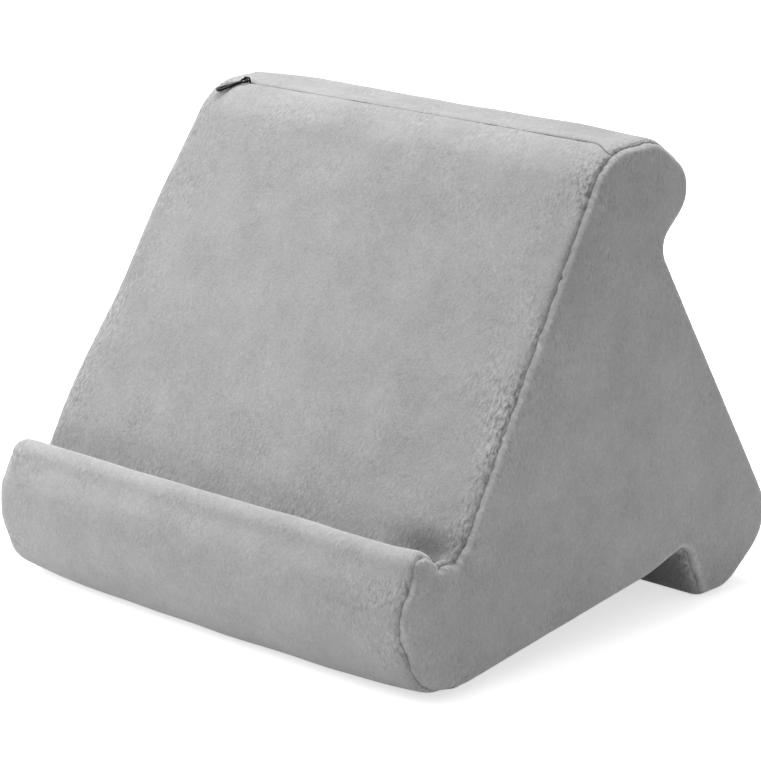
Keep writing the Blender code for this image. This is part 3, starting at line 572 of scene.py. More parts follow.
def pulled(x, y, z):
    """X after the pulls at the left end and the wandering of the seams."""
    moved = np.zeros_like(x)
    for (centre_y, centre_z), width, amount in LEFT_PULLS:
        moved += amount * (1.0 - fade(np.hypot(y - centre_y, z - centre_z) / width))
    wander = noise_at(np.stack([np.sign(x), y, z], 1), WANDER_SIZE, seed=11)
    wander *= fade(1.0 - (END - np.abs(x)) / WANDER_REACH)
    return x + moved * fade(1.0 - (END + x) / PULL_REACH) + WANDER * wander


RUFFLE_NEAR, RUFFLE_FAR = 0.011, 0.040    # how far the crimps beside a seam and the loose ones reach
RUFFLE_LOOSE, RUFFLE_LEAST = 0.45, 0.10


def ruffled(points, distance, most):
    """How crimped the pile is: most beside a seam, and in loose patches further out."""
    patches = np.clip(0.5 + 1.1 * noise_at(points, size=0.022, seed=6), 0.0, 1.3)
    crimped = most * np.exp(-distance / RUFFLE_NEAR) + RUFFLE_LOOSE * np.exp(-distance / RUFFLE_FAR)
    return crimped * patches + RUFFLE_LEAST


def hollows(s, x):
    """Painted shade where pile stands in a crease, and a painted highlight on the crest's rim."""
    s = np.mod(s, ROUND)
    # painted shade in the tray's well and in the cave under the rear notch, and a painted highlight
    # along the crest
    well = bump(s, S_TRAY + 0.007, 0.016) * (0.25 + 0.85 * bump(x, END - 0.020, 0.034))
    painted_cave_shade = bump(s, (ARC["rear_toe"].start + S_REAR) / 2.0, 0.028) * fade((END - np.abs(x)) / 0.008)
    painted_crest_highlight = 0.26 * bump(s, CREST - 0.001, 0.011) + 0.40 * bump(s, CREST + 0.002, 0.0034)
    return well + 0.6 * painted_cave_shade - painted_crest_highlight


ARCH = (ARC["rear_toe"].start + ARC["underside"].start) / 2.0


def painted_highlight_on_end_rim(distance, nearest):
    """A painted highlight along an end panel's rounded edge, strongest under the arch."""
    return -(0.22 + 0.75 * bump(nearest, ARCH, 0.085)) * np.exp(-(((distance - 0.0016) / 0.0026) ** 2))


PUCKER, END_PUCKER = 0.00060, 0.00018     # height of the gathers on the long panels and on the ends
SWELL_FADE = 0.012       # the swells fade out over this distance to a side seam
FLOOR_FADE = 0.004       # and over this height above the floor, underneath


def wrap_points(s, x, extra):
    """Points of the cover at places along the outline and across it, raised by an extra height."""
    y, z, ny, nz, draw = outline(s)
    distance = END - np.abs(x)
    flat = np.stack([x, y, z], 1)
    height = extra - drawn_in(distance, groove_depth(s, np.sign(x)))
    height += fullness(s, x) - draw * draw_share(x)
    swell = swells(flat) * fade(distance / SWELL_FADE) + swell_at(flat, np.stack([0.0 * ny, ny, nz], 1))
    height += swell * off_zip(s) + PUCKER * puckers(s, distance, 1.0 + (x > 0))
    # what faces the floor doesn't swell into it
    below = fade((FLOOR_FADE - z) / FLOOR_FADE) * (nz < -0.5)
    height = height * (1.0 - below) + np.minimum(height, 0.0) * below
    y, z = y + height * ny, np.maximum(z + height * nz, 0.0)
    return np.stack([flare(pulled(x, y, z), z), y, z], 1)


BEND = 0.0075            # past the slider's reach the slit bends forwards by this
SLIDER_REACH = 0.130


def zip_line(x):
    """Where the middle of the slit runs, as a shift along the outline."""
    return -BEND * fade((np.abs(x) - SLIDER_REACH) / (END - SLIDER_REACH))


SEAM = (0.0030, 0.0010)  # how far from its edge a panel turns in, and how deep: at a seam
FOLD = (0.0020, 0.0006)  # and at the zip, where it is deeper towards the ends
FOLD_DEPTHS = (0.6, 1.3, 0.060)           # share in the middle, what the ends add, and where
SLIT_FADE = 0.016        # the rows beside the slit follow its course over this distance
# Short stretches where the two folds part and show the dark chain: the middle and half length of each
OPENINGS = (
    (-0.1256, 0.007), (-0.083, 0.004), (-0.037, 0.013), (0.058, 0.008), (0.102, 0.018), (0.122, 0.009),
)


SHUT, GAPING, UNSTEADY = 0.00006, 0.00042, 0.00008    # half the slit's width, and what adds to it
LEAST_SLIT, CLOSED_SLIT = 0.00003, 0.00002


def half_slit(x):
    """Half the width of the slit over the zip. It closes where the chain ends."""
    half = np.full_like(x, SHUT)
    for middle, reach in OPENINGS:
        half = half + GAPING * bump(x, middle, reach)
    places = np.stack([x, np.zeros_like(x), np.zeros_like(x)], 1)
    half = half + UNSTEADY * noise_at(places, size=0.007, seed=8)
    open_here = 1.0 - fade((np.abs(x) - CHAIN_END) / 0.004)
    return np.maximum(half, LEAST_SLIT) * open_here + CLOSED_SLIT


def wrap_panel(name, low, high, low_edge, high_edge):
    """One long panel. An edge is a seam in an inner corner, or the fold over the zip."""
    s_rows = rows_between(low, high)
    half = crowded(END, finest=0.0004, widest=0.0030)
    x_columns = np.concatenate([-half[::-1], half[1:]])
    s, x = (v.ravel() for v in np.meshgrid(s_rows, x_columns, indexing="ij"))
    for edge, ends_here, inwards in ((low_edge, s - low, 1.0), (high_edge, high - s, -1.0)):
        if edge is FOLD:
            shift = zip_line(x) + inwards * half_slit(x)
            s = s + shift * (1.0 - fade(ends_here / SLIT_FADE))
    low_side = low + (zip_line(x) + half_slit(x) if low_edge is FOLD else 0.0)
    high_side = high + (zip_line(x) - half_slit(x) if high_edge is FOLD else 0.0)
    extra = np.zeros_like(s)
    for distance, edge in ((s - low_side, low_edge), (high_side - s, high_edge)):
        reach, depth = edge
        if edge is FOLD:
            least, more, where = FOLD_DEPTHS
            depth = depth * (least + more * fade((np.abs(x) - where) / where))
        u = np.clip(1.0 - distance / reach, 0.0, 1.0)
        extra -= depth * (1.0 - np.sqrt(1.0 - 0.97 * u * u))
    points = wrap_points(s, x, extra)
    faces = grid_faces(len(s_rows), len(x_columns))
    to_seam = np.minimum(END - np.abs(x), 0.012 + 0.5 * np.minimum(s - low, high - s))
    ruffle = ruffled(points, to_seam, most=1.25)
    cloth = np.stack([x, s], 1)
    # the colour gets painted shade in creases and a painted highlight on the crest's rim
    return thickened(add_piece(name, points, faces, cloth, ruffle=ruffle, hollow=hollows(s, x)))


# %% [markdown]
# ## The two ends
#
# An end panel is cut to the outline and sewn to the long panels all the way round. The foam behind it
# pushes it out into a low crown. The crown's height follows from the cloth's tension, so it is worked
# out as a stretched skin that is held at the seam and pushed from behind: steep near the seam, and
# almost flat in the middle.


# %% Making an end panel
def inside_polygon(points, ring):
    """Which points lie inside a closed ring of points."""
    inside = np.zeros(len(points), bool)
    px, py = points[:, 0], points[:, 1]
    for a, b in zip(ring, np.roll(ring, -1, axis=0)):
        crosses = (a[1] > py) != (b[1] > py)
        with np.errstate(divide="ignore", invalid="ignore"):
            at = a[0] + (py - a[1]) / (b[1] - a[1]) * (b[0] - a[0])
        inside ^= crosses & (px < at)
    return inside


def distance_to_ring(points, ring, places=None):
    """Each point's distance to a closed ring. With places along the ring, the nearest one as well."""
    best = np.full(len(points), 9.0)
    nearest = np.zeros(len(points))
    for i, a in enumerate(ring):
        k = (i + 1) % len(ring)
        edge = ring[k] - a
        t = np.clip(((points - a) @ edge) / max(edge @ edge, 1e-12), 0.0, 1.0)
        off = points - a - t[:, None] * edge
        away = np.sqrt(off[:, 0] ** 2 + off[:, 1] ** 2)
        closer = away < best
        best = np.where(closer, away, best)
        if places is not None:
            step = np.mod(places[k] - places[i], ROUND)
            nearest = np.where(closer, places[i] + t * step, nearest)
    return best if places is None else (best, nearest)


# An end panel's points: rings at these distances inside its seam, and a grid with this spacing
RINGS = (0.0, 0.00025, 0.0007, 0.0013, 0.0020, 0.0029, 0.0040, 0.0055, 0.0075, 0.0100)
SPACING = 0.0030
CROWN = 0.0034
CROWN_REACH = 0.0135     # how fast the crown rises from the seam
PAIR_PULL = 0.577        # between two neighbours on an even mesh of triangles
SOLVED = 1e-24           # the skin is worked out when so little is left over
SHOULDERS = {1.0: 0.0040, -1.0: 0.0018}   # the cloth's own roundness at each seam
LIP_SHOULDER = 0.0042    # the left end's lip bulges by this much more
SHOULDER_REACH = 0.0060
SHOULDER_SQUARENESS = 2.4
BULGE = 0.0014           # the shoulder rolls out over its own seam by this
BULGE_REACH = 0.0075
END_SUNK, EDGE_SUNK = 0.0006, 0.0002      # how deep the crown starts, and how deep its edge is sewn
END_SWELL, END_SWELL_FADE, END_PILLOW_FADE = 0.8, 0.015, 0.010


def seam_ring(side):
    """The closed line of a side seam: places along the outline, points (y, z) and outward normals."""
    s = []
    for arc in arcs:
        steps = max(2, ceil(degrees(abs(arc.turn)) / 6.0), ceil(arc.length / 0.0010))
        s += list(arc.start + arc.length * np.arange(steps) / steps)
        steps = max(1, round(arc.flat / 0.0010))
        s += list(arc.start + arc.length + arc.flat * np.arange(steps) / steps)
    s = np.array(s)
    x = np.full_like(s, side * END)
    y, z, ny, nz, draw = outline(s)
    height = -drawn_in(np.zeros_like(s), EVEN) - draw + fullness(s, x)
    return s, np.stack([y + height * ny, np.maximum(z + height * nz, 0.0)], 1), np.stack([ny, nz], 1)


def end_layout(side):
    """Points (y, z) and triangles of an end panel; how far each is from the seam, and where along it."""
    s, ring, normals = seam_ring(side)
    count = len(ring)
    points = [ring]
    places = [s]
    for inset in RINGS[1:]:
        moved = ring - normals * inset
        clear = inside_polygon(moved, ring) & (distance_to_ring(moved, ring) > 0.93 * inset)
        points.append(moved[clear])
        places.append(s[clear])
    low = ring.min(0)
    high = ring.max(0)
    rows = np.arange(low[1], high[1], SPACING * sqrt(3.0) / 2.0)
    grid = []
    for i, z in enumerate(rows):
        y = np.arange(low[0], high[0], SPACING) + (SPACING / 2.0 if i % 2 else 0.0)
        grid.append(np.stack([y, np.full_like(y, z)], 1))
    grid = np.concatenate(grid)
    grid = grid[inside_polygon(grid, ring)]
    grid = grid[distance_to_ring(grid, ring) > RINGS[-1] + 0.0016]
    points.append(grid)
    points = np.concatenate(points)
    edges = [(i, (i + 1) % count) for i in range(count)]
    out = delaunay_2d_cdt([Vector(p) for p in points], edges, [], 1, 1e-7)
    verts = np.array([tuple(v) for v in out[0]])
    faces = [tuple(f) for f in out[2]]
    distance, nearest = distance_to_ring(verts, ring, s)
    distance[:count] = 0.0
    return verts, faces, distance, nearest


def stretched_skin(verts, faces, distance):
    """Height of a skin held at the seam and pushed from behind, 1 on a wide flat."""
    tri = np.array([f for f in faces if len(f) == 3])
    pairs = np.concatenate([tri[:, [0, 1]], tri[:, [1, 2]], tri[:, [2, 0]]])
    pairs = np.unique(np.sort(pairs, axis=1), axis=0)
    area = np.zeros(len(verts))
    a, b, c = verts[tri[:, 0]], verts[tri[:, 1]], verts[tri[:, 2]]
    first, second = b - a, c - a
    size = np.abs(first[:, 0] * second[:, 1] - first[:, 1] * second[:, 0]) / 6.0
    for k in range(3):
        np.add.at(area, tri[:, k], size)
    free = distance > 0.0
    screen = area / CROWN_REACH ** 2

    def apply(h):
        h = np.where(free, h, 0.0)
        out = screen * h
        flow = PAIR_PULL * (h[pairs[:, 0]] - h[pairs[:, 1]])
        np.add.at(out, pairs[:, 0], flow)
        np.subtract.at(out, pairs[:, 1], flow)
        return np.where(free, out, 0.0)

    height = np.zeros(len(verts))
    residual = np.where(free, screen, 0.0)
    direction = residual.copy()
    power = residual @ residual
    for _ in range(400):
        spread = apply(direction)
        step = power / (direction @ spread)
        height += step * direction
        residual -= step * spread
        fresh = residual @ residual
        if fresh < SOLVED:
            break
        direction = residual + direction * fresh / power
        power = fresh
    return height


def shoulder_height(distance, nearest, side):
    """How far the panel has risen out of its seam at a distance from it."""
    u = 1.0 - np.clip(distance / SHOULDER_REACH, 0.0, 1.0)
    at_lip = bump(nearest, CREST - 0.008, 0.050) if side < 0 else 0.0
    rise = (1.0 - u**SHOULDER_SQUARENESS) ** (1.0 / SHOULDER_SQUARENESS)
    return (SHOULDERS[side] + LIP_SHOULDER * at_lip) * rise


def end_panel(name, side):
    """One end panel, side +1 for the right end and -1 for the left one."""
    verts, faces, distance, nearest = end_layout(side)
    y, z = verts[:, 0], verts[:, 1]
    x = np.full_like(y, side * END)
    roll = BULGE * np.sin(pi * np.clip(distance / BULGE_REACH, 0.0, 1.0))
    roll -= GROOVE * (groove_depth(nearest, side) - EVEN) * np.clip(1.0 - distance / 0.0012, 0.0, 1.0)
    _, _, ny, nz, _ = outline(nearest)
    y, z = y + roll * ny, np.maximum(z + roll * nz, 0.0)
    flat = np.stack([x, y, z], 1)
    height = CROWN * stretched_skin(verts, faces, distance) - END_SUNK
    height += shoulder_height(distance, nearest, side)
    height += END_SWELL * swells(flat) * fade(distance / END_SWELL_FADE)
    normals = np.tile((side, 0.0, 0.0), (len(flat), 1))
    height += swell_at(flat, normals) * fade(distance / END_PILLOW_FADE)
    height += END_PUCKER * puckers(nearest, distance, 4.0 + side)
    height[distance <= 0.0] = -EDGE_SUNK
    points = np.stack([flare(pulled(x, y, z), z) + side * height, y, z], 1)
    if side < 0:
        faces = [tuple(reversed(face)) for face in faces]
    # the end panel's colour gets a painted highlight along its rounded edge
    looks = {"ruffle": ruffled(points, distance, most=0.1), "hollow": painted_highlight_on_end_rim(distance, nearest)}
    return thickened(add_piece(name, points, faces, np.stack([y, z], 1), **looks))


# %% [markdown]
# ## The foam block
#
# Inside the cover is one block of open-cell foam, cut to the same outline. It lies just under the
# cloth, and it shows only through the zip. Under the zip it has a shallow channel, so that the tapes,
# the chain and the slider have room. It is built from the same places as the cover, with a ring of
# points every few millimetres across the stand, and its ends take the end panels' layout and crown.

# %% The foam block
UNDER_CLOTH = 0.0034     # from the cover's face to the foam
CHANNEL_DEPTH = 0.0085
CHANNEL_WIDTH = 0.0200
CHANNEL_FADE = 0.008     # it runs out over this distance to the ends
FOAM_COLUMN = 0.0070     # between two rings


def foam_end(side):
    """Points of an end of the foam, the ring's own points first, and its triangles."""
    flat, triangles, distance, nearest = end_layout(side)
    height = CROWN * stretched_skin(flat, triangles, distance)
    height = np.maximum(height + shoulder_height(distance, nearest, side) - UNDER_CLOTH, -0.002)
    y, z = flat[:, 0], flat[:, 1]
    x = flare(pulled(np.full(len(y), side * END), y, z), z) + side * height
    return np.stack([x * (1.0 - 0.3 * UNDER_CLOTH / END), y, z], 1), triangles


def foam_block(name):
    s = seam_ring(1.0)[0]
    count = len(s)
    columns = np.linspace(-END, END, round(2.0 * END / FOAM_COLUMN))
    channel = CHANNEL_DEPTH * bump(s, S_ZIP, CHANNEL_WIDTH)
    sheets = []
    for x in columns:
        under = -UNDER_CLOTH - channel * fade((END - abs(x)) / CHANNEL_FADE)
        points = wrap_points(s, np.full_like(s, x), under)
        points[:, 2] = np.maximum(points[:, 2], UNDER_CLOTH * 0.6)
        points[:, 0] *= 1.0 - UNDER_CLOTH / END
        sheets.append(points)
    verts = np.concatenate(sheets)
    last = len(verts) - count
    faces = []
    for start in range(0, last, count):
        for i in range(count):
            a, b = start + i, start + (i + 1) % count
            faces.append((a, a + count, b + count, b))
    for side, ring in ((-1.0, 0), (1.0, last)):
        points, triangles = foam_end(side)
        number = np.concatenate([ring + np.arange(count), len(verts) + np.arange(len(points) - count)])
        for triangle in triangles:
            numbered = [int(number[v]) for v in triangle]
            faces.append(tuple(numbered if side < 0 else reversed(numbered)))
        verts = np.concatenate([verts, points[count:]])
    return add_piece(name, verts, faces)


foam_piece = foam_block("foam_block")
print(foam_piece.name, len(foam_piece.data.polygons), "faces")

# %% [markdown]
# ## Blowing the cover up
#
# Cloth over foam is a cushion: it is held where it is sewn and swells between its seams. A cloth
# simulation finds that shape. A closed copy of the block is remeshed into even squares and held at
# every seam and where it stands on the floor; pressure from inside then blows it up for twenty steps,
# without gravity. How far each point moves, capped, is the swell that the cover's panels take over, at
# a third of its size, because foam under a cover holds its cut shape better than loose filling does.

# %% Blow the cover up
PRESSURE = 4.0
STEPS = 20
MOST_SWELL = 0.0060
SWELL_SHARE = 0.33       # what the panels take over of it
HELD_WIDTH = 0.008       # of the band beside a seam that is held


def held_points(points):
    """Which points of the pillow are held: those beside a seam, and those on the floor."""
    _, ring, _ = seam_ring(1.0)
    across = np.abs(points[:, 0]) / flare(np.ones(len(points)), points[:, 2])
    held = (distance_to_ring(points[:, 1:], ring) < HELD_WIDTH) & (across > END - HELD_WIDTH)
    for y, z in zip(*outline(np.array(SEAMS))[:2]):
        held |= np.hypot(points[:, 1] - y, points[:, 2] - z) < HELD_WIDTH
    return held | (points[:, 2] < 0.006)


def blown_up(block):
    """Where the pillow's points were, and how far each one moved."""
    pillow = placed("pillow", block.data.copy())
    remesh = pillow.modifiers.new("remesh", "REMESH")
    remesh.mode = "VOXEL"
    remesh.voxel_size = PILLOW_VOXEL
    even = bpy.data.meshes.new_from_object(pillow.evaluated_get(bpy.context.evaluated_depsgraph_get()))
    pillow.modifiers.clear()
    pillow.data = even
    before = np.array([tuple(v.co) for v in even.vertices])
    held = pillow.vertex_groups.new(name="held")
    held.add(np.flatnonzero(held_points(before)).tolist(), 1.0, "REPLACE")
    cloth = pillow.modifiers.new("cloth", "CLOTH")
    cloth.settings.vertex_group_mass = "held"
    cloth.settings.use_pressure = True
    cloth.settings.uniform_pressure_force = PRESSURE
    cloth.settings.effector_weights.gravity = 0.0
    cloth.point_cache.frame_end = STEPS
    for frame_number in range(1, STEPS + 1):
        scene.frame_set(frame_number)
    seen = pillow.evaluated_get(bpy.context.evaluated_depsgraph_get())
    after = np.array([tuple(v.co) for v in seen.data.vertices])
    bpy.data.objects.remove(pillow)
    scene.frame_set(1)
    moved = after - before
    length = np.linalg.norm(moved, axis=1)
    moved *= np.minimum(1.0, MOST_SWELL / np.maximum(length, 1e-9))[:, None]
    most, mean = length.max() * 1000.0, length.mean() * 1000.0
    print(f"pillow: {len(before)} points, most moved {most:.2f} mm, mean {mean:.2f} mm")
    return before, moved


pillow_points, pillow_moves = blown_up(foam_piece)
PILLOW["tree"] = KDTree(len(pillow_points))
for index, point in enumerate(pillow_points):
    PILLOW["tree"].insert(point, index)
PILLOW["tree"].balance()
PILLOW["moves"] = pillow_moves

# %% [markdown]
# ## Sewing the cover
#
# Now the six panels are made: four long ones round the block, and the two ends.

# %% Sew the cover
wraps = {
    "cover_screen_panel": wrap_panel("plush_screen_face", S_TRAY, S_ZIP, SEAM, FOLD),
    "cover_top_panel": wrap_panel("plush_top", S_ZIP, S_NOTCH, FOLD, SEAM),
    "cover_back_panel": wrap_panel("plush_back", S_NOTCH, S_REAR, SEAM, SEAM),
    "cover_lip_panel": wrap_panel("plush_lip_and_underside", S_REAR, S_TRAY + ROUND, SEAM, SEAM),
}
ends = {
    "cover_side_right": end_panel("plush_right_end", 1.0),
    "cover_side_left": end_panel("plush_left_end", -1.0),
}
for piece in (*wraps.values(), *ends.values()):
    print(piece.name, len(piece.data.polygons), "faces")

# %% [markdown]
# ## Stitches and zip teeth
#
# A zip's coil and a row of stitches are the same small thing repeated hundreds of times. Geometry
# Nodes does that: the script gives it a mesh whose points are the places and whose "turn" says how each
# item is turned, and one node tree puts a copy of the item on every place, with a little variation.
# The result is then turned into a plain mesh.
#
# - The side seams have a lockstitch in the bottom of their groove, about every 3.4 mm.
# - Each zip tape is held by a row of stitches.
# - Each half of the chain is a coil of nylon: a tooth every 1.1 mm, set slightly aslant, and the two
#   halves are half a step apart, as in a closed zip.


# %% The node tree that repeats an item
def repeat_tree():
    tree = bpy.data.node_groups.new("Repeat on places", "GeometryNodeTree")
    new_socket = tree.interface.new_socket
    kinds = {"Geometry": "Geometry", "Item": "Object", "Material": "Material"}
    for label, kind in {**kinds, "Variation": "Float", "Seed": "Int"}.items():
        new_socket(label, in_out="INPUT", socket_type="NodeSocket" + kind)
    new_socket("Geometry", in_out="OUTPUT", socket_type="NodeSocketGeometry")
    given = tree.nodes.new("NodeGroupInput").outputs
    item = new_node(tree, "GeometryNodeObjectInfo", Object=given["Item"])
    turn = new_node(tree, "GeometryNodeInputNamedAttribute", data_type="FLOAT_VECTOR", Name="turn")
    least = maths(tree, "SUBTRACT", 1.0, given["Variation"])
    most = maths(tree, "ADD", 1.0, given["Variation"])
    size = new_node(
        tree, "FunctionNodeRandomValue", data_type="FLOAT", _2=least, _3=most, Seed=given["Seed"]
    )
    copies = new_node(
        tree, "GeometryNodeInstanceOnPoints", Points=given["Geometry"],
        Instance=item.outputs["Geometry"], Rotation=turn.outputs["Attribute"], Scale=size.outputs[1],
    )
    real = new_node(tree, "GeometryNodeRealizeInstances", _0=copies.outputs[0]).outputs[0]
    finish = new_node(tree, "GeometryNodeSetMaterial", Geometry=real, Material=given["Material"])
    new_node(tree, "NodeGroupOutput", Geometry=finish.outputs[0])
    return tree


def repeated(name, places, turns, item, material, variation, seed):
    """A plain mesh with a copy of the item on every place, turned by its Euler angles."""
    piece = add_piece(name, places, [])
    turn = piece.data.attributes.new("turn", "FLOAT_VECTOR", "POINT")
    turn.data.foreach_set("vector", np.asarray(turns, np.float32).ravel())
    modifier = piece.modifiers.new("repeat", "NODES")
    modifier.node_group = REPEAT
    values = {"Item": item, "Material": material, "Variation": variation, "Seed": seed}
    for socket in REPEAT.interface.items_tree:
        if socket.in_out == "INPUT" and socket.name in values:
            modifier[socket.identifier] = values[socket.name]
    bpy.context.view_layer.update()
    seen = piece.evaluated_get(bpy.context.evaluated_depsgraph_get())
    plain = bpy.data.meshes.new_from_object(seen)
    piece.modifiers.remove(modifier)
    piece.data = plain
    plain.shade_smooth()
    return piece


def rounded_bar(name, length, width, height, squareness):
    """A small closed bar with rounded ends. Its length is along X."""
    around, along = 8, 7
    verts = [(-length / 2.0, 0.0, 0.0)]
    for i in range(1, along):
        u = -cos(pi * i / along)
        swell = (1.0 - abs(u) ** squareness) ** (1.0 / squareness) / 2.0
        for k in range(around):
            angle = 2.0 * pi * k / around
            verts.append((u * length / 2.0, swell * width * cos(angle), swell * height * sin(angle)))
    verts.append((length / 2.0, 0.0, 0.0))
    faces = [(0, 1 + (k + 1) % around, 1 + k) for k in range(around)]
    for i in range(along - 2):
        for k in range(around):
            a, b = 1 + i * around + k, 1 + i * around + (k + 1) % around
            faces.append((a, b, b + around, a + around))
    last = len(verts) - 1
    ring = last - around
    faces += [(last, ring + k, ring + (k + 1) % around) for k in range(around)]
    return add_piece(name, verts, faces)


REPEAT = repeat_tree()
print("node tree:", REPEAT.name)

# %% [markdown]
# ## Plush
#
# The cloth is short-pile plush, a neutral light grey. The pile leans this way and that where hands
# have brushed it, so the grey is softly mottled, in patches of one to three centimetres, and it has a
# fine grain up close. Light that grazes the pile catches the tips of the hairs, which is the sheen.
#
# The grain and the mottling are node groups with named sizes, so that other soft pieces can use them.


# %% Shared effects
def new_group(name, inputs, outputs):
    """A node group. An input is given by its default: a number, a colour, or None for a vector."""
    group = bpy.data.node_groups.new(name, "ShaderNodeTree")
    kinds = {type(None): "NodeSocketVector", float: "NodeSocketFloat", tuple: "NodeSocketColor"}
    for label, default in inputs.items():
        socket = group.interface.new_socket(label, in_out="INPUT", socket_type=kinds[type(default)])
        if default is not None:
            socket.default_value = default
    for label, kind in outputs.items():
        group.interface.new_socket(label, in_out="OUTPUT", socket_type="NodeSocket" + kind)
    return group, group.nodes.new("NodeGroupInput").outputs, group.nodes.new("NodeGroupOutput").inputs


def noise_on(tree, place, scale, detail, **settings):
    """Noise between 0 and 1 at a place, with about this many swells to a metre."""
    texture = new_node(tree, "ShaderNodeTexNoise", Vector=place, Scale=scale, Detail=detail, **settings)
    return texture.outputs["Fac"]


def scaled_by(tree, vector, scale):
    return new_node(tree, "ShaderNodeVectorMath", operation="SCALE", _0=vector, Scale=scale).outputs[0]


def mottling_group():
    """Soft patches of lighter and darker pile."""
    colours = {"Dark": (0.3, 0.3, 0.3, 1), "Light": (0.5, 0.5, 0.5, 1)}
    inputs = {"Position": None, **colours, "Patch size": 0.022}
    group, given, result = new_group("Plush mottling", inputs, {"Color": "Color"})
    scale = maths(group, "DIVIDE", 1.0, given["Patch size"])
    fine = maths(group, "MULTIPLY", scale, 14.0)
    broad = noise_on(group, given["Position"], scale, detail=1.5, Roughness=0.5)
    grain = noise_on(group, given["Position"], fine, detail=2.0, Roughness=0.6)
    blend = new_node(group, "ShaderNodeMix", data_type="FLOAT", Factor=0.2, A=broad, B=grain)
    blended = blend.outputs["Result"]
    mask = new_node(group, "ShaderNodeMapRange", Value=blended, From_Min=0.33, From_Max=0.67).outputs[0]
    colour = new_node(
        group, "ShaderNodeMix", data_type="RGBA", Factor=mask, _6=given["Dark"], _7=given["Light"]
    )
    group.links.new(colour.outputs[2], result["Color"])
    return group


def crimp_group():
    """Pile pressed into short strokes that run along a seam. Amount says how much, place by place."""
    group, given, result = new_group(
        "Pile crimps",
        {"Cloth": None, "Amount": 1.0, "Width": 0.0015, "Length": 0.0038, "Waviness": 2.2},
        {"Crimp": "Float"},
    )
    parts = new_node(group, "ShaderNodeSeparateXYZ", _0=given["Cloth"]).outputs
    across = maths(group, "DIVIDE", parts["X"], given["Width"])
    along = maths(group, "DIVIDE", parts["Y"], given["Length"])
    bend = noise_on(group, given["Cloth"], scale=190.0, detail=1.0)
    bent = maths(group, "MULTIPLY_ADD", bend, given["Waviness"], across)
    stretched = new_node(group, "ShaderNodeCombineXYZ", X=bent, Y=along)
    strokes = noise_on(group, stretched.outputs[0], scale=1.0, detail=2.0, Roughness=0.55)
    centred = maths(group, "SUBTRACT", strokes, 0.5)
    group.links.new(maths(group, "MULTIPLY", centred, given["Amount"]), result["Crimp"])
    return group


CLUMPS, CRIMPS = 0.35, 2.6    # how much the clumps and the crimps count beside the tufts
MIDDLE_OF_PILE = 0.675        # the mean of the two noises together


def pile_group():
    """The bump of short pile: tufts, over clumps that lean together, and the crimps at a seam."""
    group, given, result = new_group(
        "Pile grain",
        {
            "Position": None, "Tuft size": 0.0013, "Strength": 0.4, "Height": 0.0004, "Crimp": 0.0,
            "Color": (0.4, 0.4, 0.4, 1), "Contrast": 0.5,
        },
        {"Normal": "Vector", "Color": "Color"},
    )
    scale = maths(group, "DIVIDE", 1.0, given["Tuft size"])
    tufts = noise_on(group, given["Position"], scale, detail=3.0, Roughness=0.6, Distortion=0.5)
    coarse = maths(group, "MULTIPLY", scale, 0.2)
    clumps = noise_on(group, given["Position"], coarse, detail=1.0, Roughness=0.5)
    leaning = maths(group, "MULTIPLY_ADD", clumps, CLUMPS, tufts)
    crimped = maths(group, "MULTIPLY_ADD", given["Crimp"], CRIMPS, leaning)
    bumped = new_node(
        group, "ShaderNodeBump", Strength=given["Strength"], Distance=given["Height"], Height=crimped
    )
    group.links.new(bumped.outputs["Normal"], result["Normal"])
    # the pile is darker between the tufts and lighter at their tips
    centred = maths(group, "SUBTRACT", crimped, MIDDLE_OF_PILE)
    shade = maths(group, "MULTIPLY_ADD", centred, given["Contrast"], 1.0)
    kept = new_node(group, "ShaderNodeClamp", Value=shade, Min=0.5, Max=1.35)
    group.links.new(scaled_by(group, given["Color"], kept.outputs[0]), result["Color"])
    return group


mottling = mottling_group()
crimps = crimp_group()
pile = pile_group()
print("groups:", [group.name for group in (mottling, crimps, pile)])


def new_material(name, constants):
    """A material with some constants set, its tree, its shader's inputs, and the place in space."""
    material = bpy.data.materials.new(name)
    material.use_nodes = True
    tree = material.node_tree
    shader = tree.nodes["Principled BSDF"].inputs
    for label, value in constants.items():
        shader[label].default_value = value
    position = tree.nodes.new("ShaderNodeTexCoord").outputs["Object"]
    return material, tree, shader, position


def soft_material(name, dark, light, patch, tuft, strength, contrast, sheen):
    """Cloth or foam. Patch and tuft are the sizes of its mottling and of its grain."""
    constants = {"Roughness": 0.95, "Specular IOR Level": 0.15, "Sheen Roughness": 0.5}
    material, tree, shader, position = new_material(name, {**constants, "Sheen Weight": sheen})
    patches = new_node(
        tree, "ShaderNodeGroup", node_tree=mottling, Dark=(*dark, 1), Light=(*light, 1),
        Patch_size=patch, Position=position,
    )
    grain = new_node(
        tree, "ShaderNodeGroup", node_tree=pile, Tuft_size=tuft, Strength=strength,
        Contrast=contrast, Position=position, Color=patches.outputs["Color"],
    )
    tree.links.new(grain.outputs["Color"], shader["Base Color"])
    tree.links.new(grain.outputs["Normal"], shader["Normal"])
    return material, grain


# painted shade and light: the plush's colour is darker by up to this share in a crease, and lighter on a
# rim as a painted highlight
PAINTED_SHADING_SHARE = 0.55      # a deep hollow is darker by this share, and a rim is lighter

plush, plush_grain = soft_material(
    "grey plush", dark=(0.362, 0.358, 0.361), light=(0.418, 0.414, 0.417), patch=0.030, tuft=0.0013,
    strength=0.8, contrast=0.60, sheen=0.6,
)
tree = plush.node_tree
cloth_map = new_node(tree, "ShaderNodeUVMap", uv_map="cloth").outputs["UV"]
ruffle = new_node(tree, "ShaderNodeAttribute", attribute_name="ruffle").outputs["Fac"]
strokes = new_node(tree, "ShaderNodeGroup", node_tree=crimps, Cloth=cloth_map, Amount=ruffle)
tree.links.new(strokes.outputs["Crimp"], plush_grain.inputs["Crimp"])
